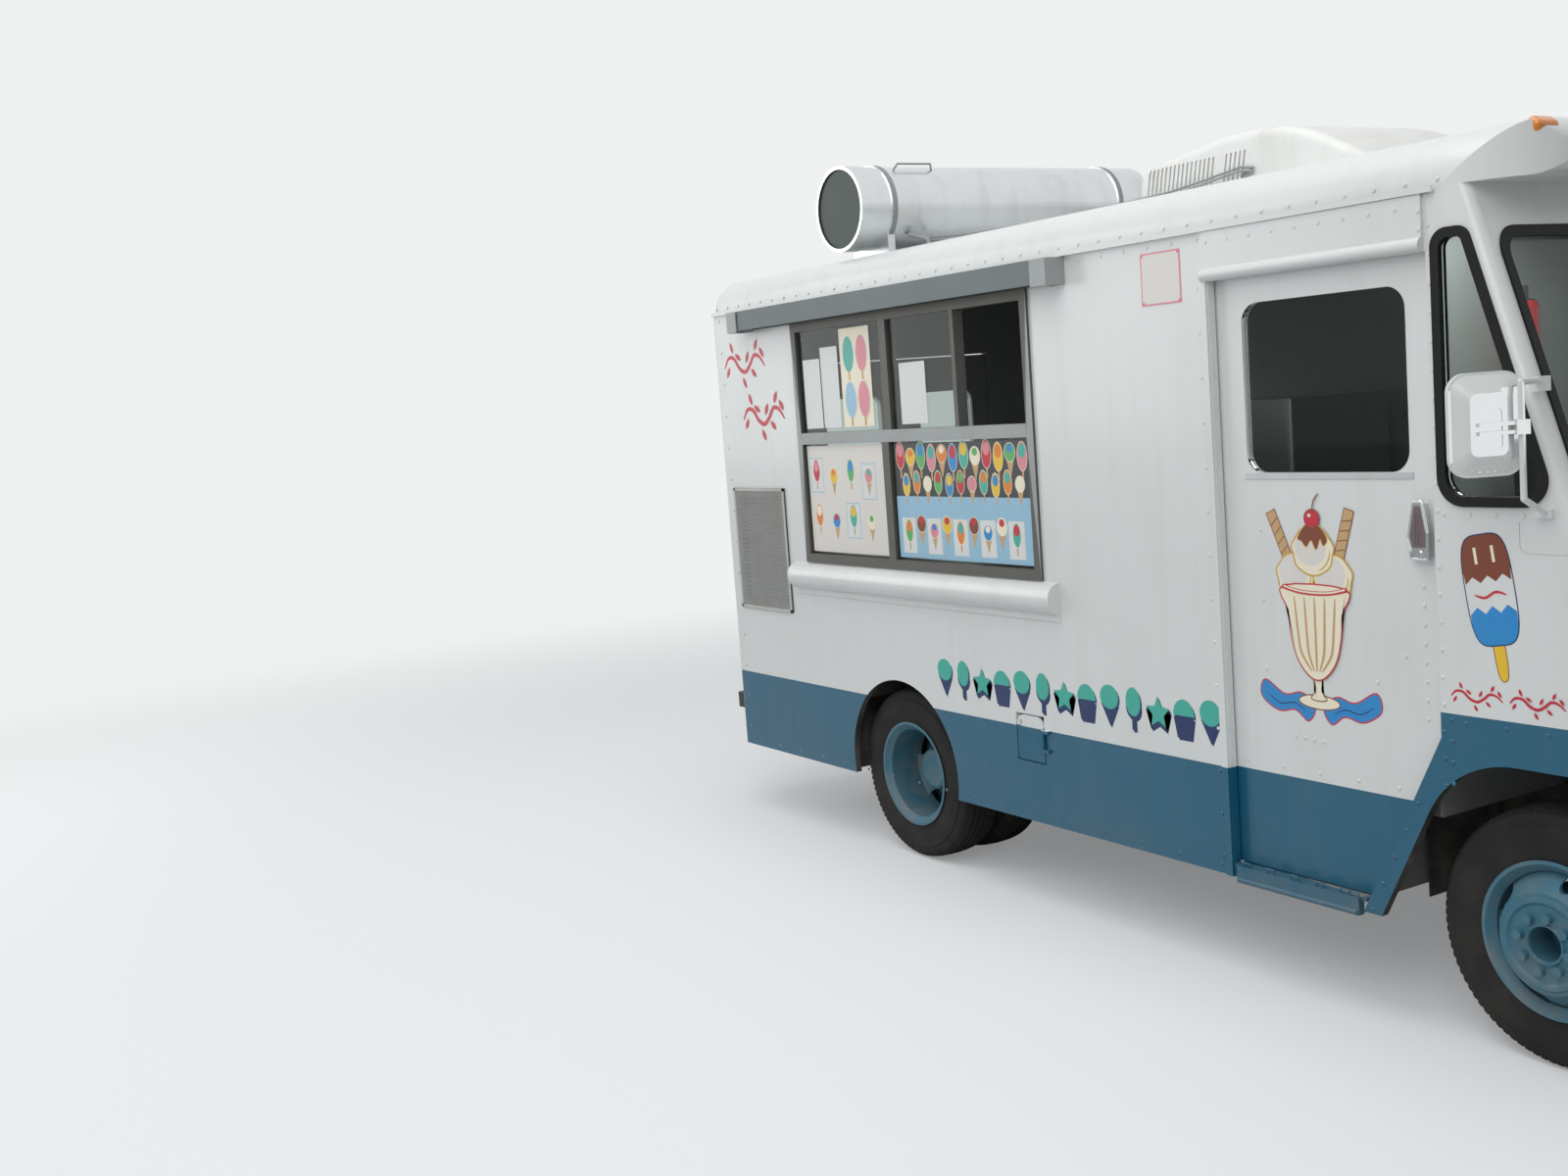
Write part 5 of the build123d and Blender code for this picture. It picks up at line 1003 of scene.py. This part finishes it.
# Columns: count, first x, pitch, z, zigzag, size, cones as (every, at), inks as (stride, first), cap's shift
popRows = [
    (12, -1.020, 0.078, 1.862, -0.012, 0.95, (3, 1), (1, 0), 3),
    (11, -0.985, 0.080, 1.735, 0.012, 0.80, (4, 2), (3, 1), 5),
]
smallCards = {"count": 5, "x": -0.985, "pitch": 0.190, "half": 0.048, "z": (1.450, 1.600), "popZ": 1.530,
              "betweenX": 0.095, "betweenZ": 1.555, "betweenInks": ("brown", "yellow", "brown", "cream")}
board = {"count": 8, "perRow": 4, "x": -1.735, "pitchX": 0.150, "z": 1.800, "pitchZ": 0.215, "zigzag": 0.03}
# Columns: ink, x0, x1, z1; all stand on the upper panes' lower edge
upperCards = [("white", -1.790, -1.640, 2.350), ("white", -1.630, -1.480, 2.400),
              ("white", -0.985, -0.790, 2.290), ("cream", -1.455, -1.205, 2.475)]
bars = {"inks": ("mint", "pink", "sky", "pink"), "x": -1.385, "pitchX": 0.11, "z": 2.355, "pitchZ": 0.21}


def popInk(index):
    return popInks[index % len(popInks)]


def addPop(art, isCone, ink, capInk, x, z, size=1.0):
    # A round-headed pop on its stick, or a cone with its scoop
    if isCone:
        addShape(art, "tan", loopAt(x, z, ((-0.028 * size, 0), (0.028 * size, 0), (0, -0.085 * size))))
        addShape(art, ink, oval(x, z + 0.026 * size, 0.036 * size, 0.040 * size), "cream", 0.003)
        addShape(art, capInk, oval(x, z + 0.044 * size, 0.020 * size, 0.018 * size, steps=16))
    else:
        addShape(art, "tan", box2d(x - 0.006 * size, z - 0.085 * size, x + 0.006 * size, z - 0.030 * size))
        addShape(art, ink, oval(x, z + 0.020 * size, 0.032 * size, 0.062 * size), "cream", 0.003)
        addShape(art, capInk, oval(x, z + 0.044 * size, 0.024 * size, 0.030 * size, steps=18))


art = newArt(pane["faceY"], lift=pane["lift"])
posterX0, posterX1 = pane["posterX"]
addShape(art, "smoke", box2d(posterX0, pane["skyTop"], posterX1, pane["high"]))
addShape(art, "sky", box2d(posterX0, pane["low"], posterX1, pane["skyTop"]))
for count, x, pitch, z, zigzag, size, (every, at), (stride, first), capShift in popRows:
    for index in range(count):
        art["layer"] = 3
        addPop(art, index % every == at, popInk(index * stride + first), popInk(index + capShift),
               x + pitch * index, z + zigzag * (index % 2), size)
for index in range(smallCards["count"]):
    x = smallCards["x"] + smallCards["pitch"] * index
    low, high = smallCards["z"]
    art["layer"] = 3
    addShape(art, "white", box2d(x - smallCards["half"], low, x + smallCards["half"], high), "paper", 0.004)
    addPop(art, index % 2, popInk(index + 2), popInk(index + 4), x, smallCards["popZ"], 0.8)
    if index < len(smallCards["betweenInks"]):
        art["layer"] = 3
        addPop(art, True, smallCards["betweenInks"][index], "red", x + smallCards["betweenX"],
               smallCards["betweenZ"], 0.9)
art["layer"] = 1
addShape(art, "paper", box2d(pane["boardX"][0], pane["low"], pane["boardX"][1], pane["high"]))
for index in range(board["count"]):
    row, column = divmod(index, board["perRow"])
    x = board["x"] + board["pitchX"] * column
    z = board["z"] - board["pitchZ"] * row - board["zigzag"] * (index % 2)
    art["layer"] = 2
    if index % 3 == 0:
        addShape(art, "white", box2d(x - 0.055, z - 0.085, x + 0.055, z + 0.075), "sky", 0.004)
    addPop(art, index % 2, popInk(index), popInk(index + 3), x, z, 0.85)
art["layer"] = 1
for ink, x0, x1, z1 in upperCards:
    addShape(art, ink, box2d(x0, pane["upperLow"], x1, z1))
for index, ink in enumerate(bars["inks"]):
    row, column = divmod(index, 2)
    x, z = bars["x"] + bars["pitchX"] * column, bars["z"] - bars["pitchZ"] * row
    addShape(art, ink, oval(x, z, 0.044, 0.082), "white", 0.004)
    addShape(art, "tan", box2d(x - 0.006, z - 0.120, x + 0.006, z - 0.080))
finishArt("paneCards", art, "truck")
print("artwork made")


# Studio: pale floor and world, soft lamps, and the photo's camera

studio = {"floor": (0.62, 0.63, 0.64), "floorSize": 60, "floorZ": -0.001, "floorGlow": 0.35,
          "sky": (0.91, 0.925, 0.93), "skyStrength": 0.95, "fadeFrom": 5.0, "fadeTo": 12.0, "world": 0.37}
# Columns: name, place, target, power, size
lamps = [
    ("keyLamp", (5.0, -8.0, 7.5), (0, 0, 1.2), 315, 6.0),
    ("fillLamp", (-7.0, -6.0, 4.0), (0, 0, 1.2), 140, 5.0),
    ("topLamp", (0.0, -2.5, 9.0), (0, 0, 1.5), 290, 6.0),
    ("cabLamp", (1.30, 0.0, 2.60), (1.1, 0, 0.8), 10.0, 0.8),
    ("bayLamp", (-0.90, 0.1, 2.60), (-0.9, 0, 0.8), 0.6, 1.0),
]
view = {"place": (5.1329, -5.4046, 2.1601), "yaw": 149.629, "pitch": -6.361, "roll": -4.424, "lens": 38.25,
        "sensor": 36, "clipEnd": 200}

floorPaint = newMaterial("studioFloorPaint", studio["floor"], 0.7)
bm = bmesh.new()
bmesh.ops.create_grid(bm, x_segments=1, y_segments=1, size=studio["floorSize"] / 2)
bmesh.ops.translate(bm, vec=(0, 0, studio["floorZ"]), verts=bm.verts)
studioFloor = newObject("studioFloor", bm, [floorPaint])

floorTree = floorPaint.node_tree
floorShader = floorTree.nodes["Principled BSDF"]
floorShader.inputs["Emission Color"].default_value = (*studio["floor"], 1)
rays = addNode(floorTree, "LightPath").outputs
floorSeen = calc(floorTree, "MAXIMUM", rays["Is Camera Ray"], rays["Is Transmission Ray"])
floorTree.links.new(calc(floorTree, "MULTIPLY", floorSeen, studio["floorGlow"]),
                    floorShader.inputs["Emission Strength"])
# Far from the truck the floor fades into the sky's colour, so no horizon line shows
floorPlace = addNode(floorTree, "TexCoord").outputs["Object"]
distance = addNode(floorTree, "VectorMath", {0: floorPlace}, operation="LENGTH").outputs["Value"]
fade = ramp(floorTree, distance, studio["fadeFrom"], studio["fadeTo"], "SMOOTHSTEP")
farFloor = addNode(floorTree, "Emission", {"Color": (*studio["sky"], 1), "Strength": studio["skyStrength"]})
farShare = calc(floorTree, "MULTIPLY", fade, floorSeen)
floorMix = addNode(floorTree, "MixShader", {"Fac": farShare, 1: floorShader.outputs["BSDF"],
                                            2: farFloor.outputs["Emission"]})
floorTree.links.new(floorMix.outputs["Shader"], floorTree.nodes["Material Output"].inputs["Surface"])

# The world lights the truck softly, and shows brighter to the camera, in glass and in mirrors
world = bpy.data.worlds.new("studioWorld")
bpy.context.scene.world = world
world.use_nodes = True
worldTree = world.node_tree
background = worldTree.nodes["Background"]
rays = addNode(worldTree, "LightPath").outputs
seen = calc(worldTree, "MAXIMUM", rays["Is Camera Ray"],
            calc(worldTree, "MAXIMUM", rays["Is Glossy Ray"], rays["Is Transmission Ray"]))
extra = calc(worldTree, "MULTIPLY", seen, studio["skyStrength"] - studio["world"])
background.inputs["Color"].default_value = (*studio["sky"], 1)
worldTree.links.new(calc(worldTree, "ADD", extra, studio["world"]), background.inputs["Strength"])

for name, place, target, power, size in lamps:
    light = bpy.data.lights.new(name, "AREA")
    light.energy = power
    light.size = size
    lamp = bpy.data.objects.new(name, light)
    lamp.location = place
    lamp.rotation_euler = (Vector(target) - Vector(place)).to_track_quat("-Z", "Y").to_euler()
    bpy.context.scene.collection.objects.link(lamp)

yaw, pitch, roll = (math.radians(view[name]) for name in ("yaw", "pitch", "roll"))
forward = Vector((math.cos(pitch) * math.cos(yaw), math.cos(pitch) * math.sin(yaw), math.sin(pitch)))
level = forward.cross(Vector((0, 0, 1))).normalized()
upright = level.cross(forward)
right = level * math.cos(roll) + upright * math.sin(roll)
up = upright * math.cos(roll) - level * math.sin(roll)
camera = bpy.data.objects.new("photoCamera", bpy.data.cameras.new("photoCamera"))
bpy.context.scene.collection.objects.link(camera)
camera.matrix_world = Matrix.Translation(Vector(view["place"])) @ Matrix(
    ((right.x, up.x, -forward.x), (right.y, up.y, -forward.y), (right.z, up.z, -forward.z))).to_4x4()
camera.data.sensor_width = view["sensor"]
camera.data.lens = view["lens"]
camera.data.clip_end = view["clipEnd"]
bpy.context.scene.camera = camera
bpy.context.scene.view_settings.view_transform = "Standard"
print("studio set")

print("scene finished")
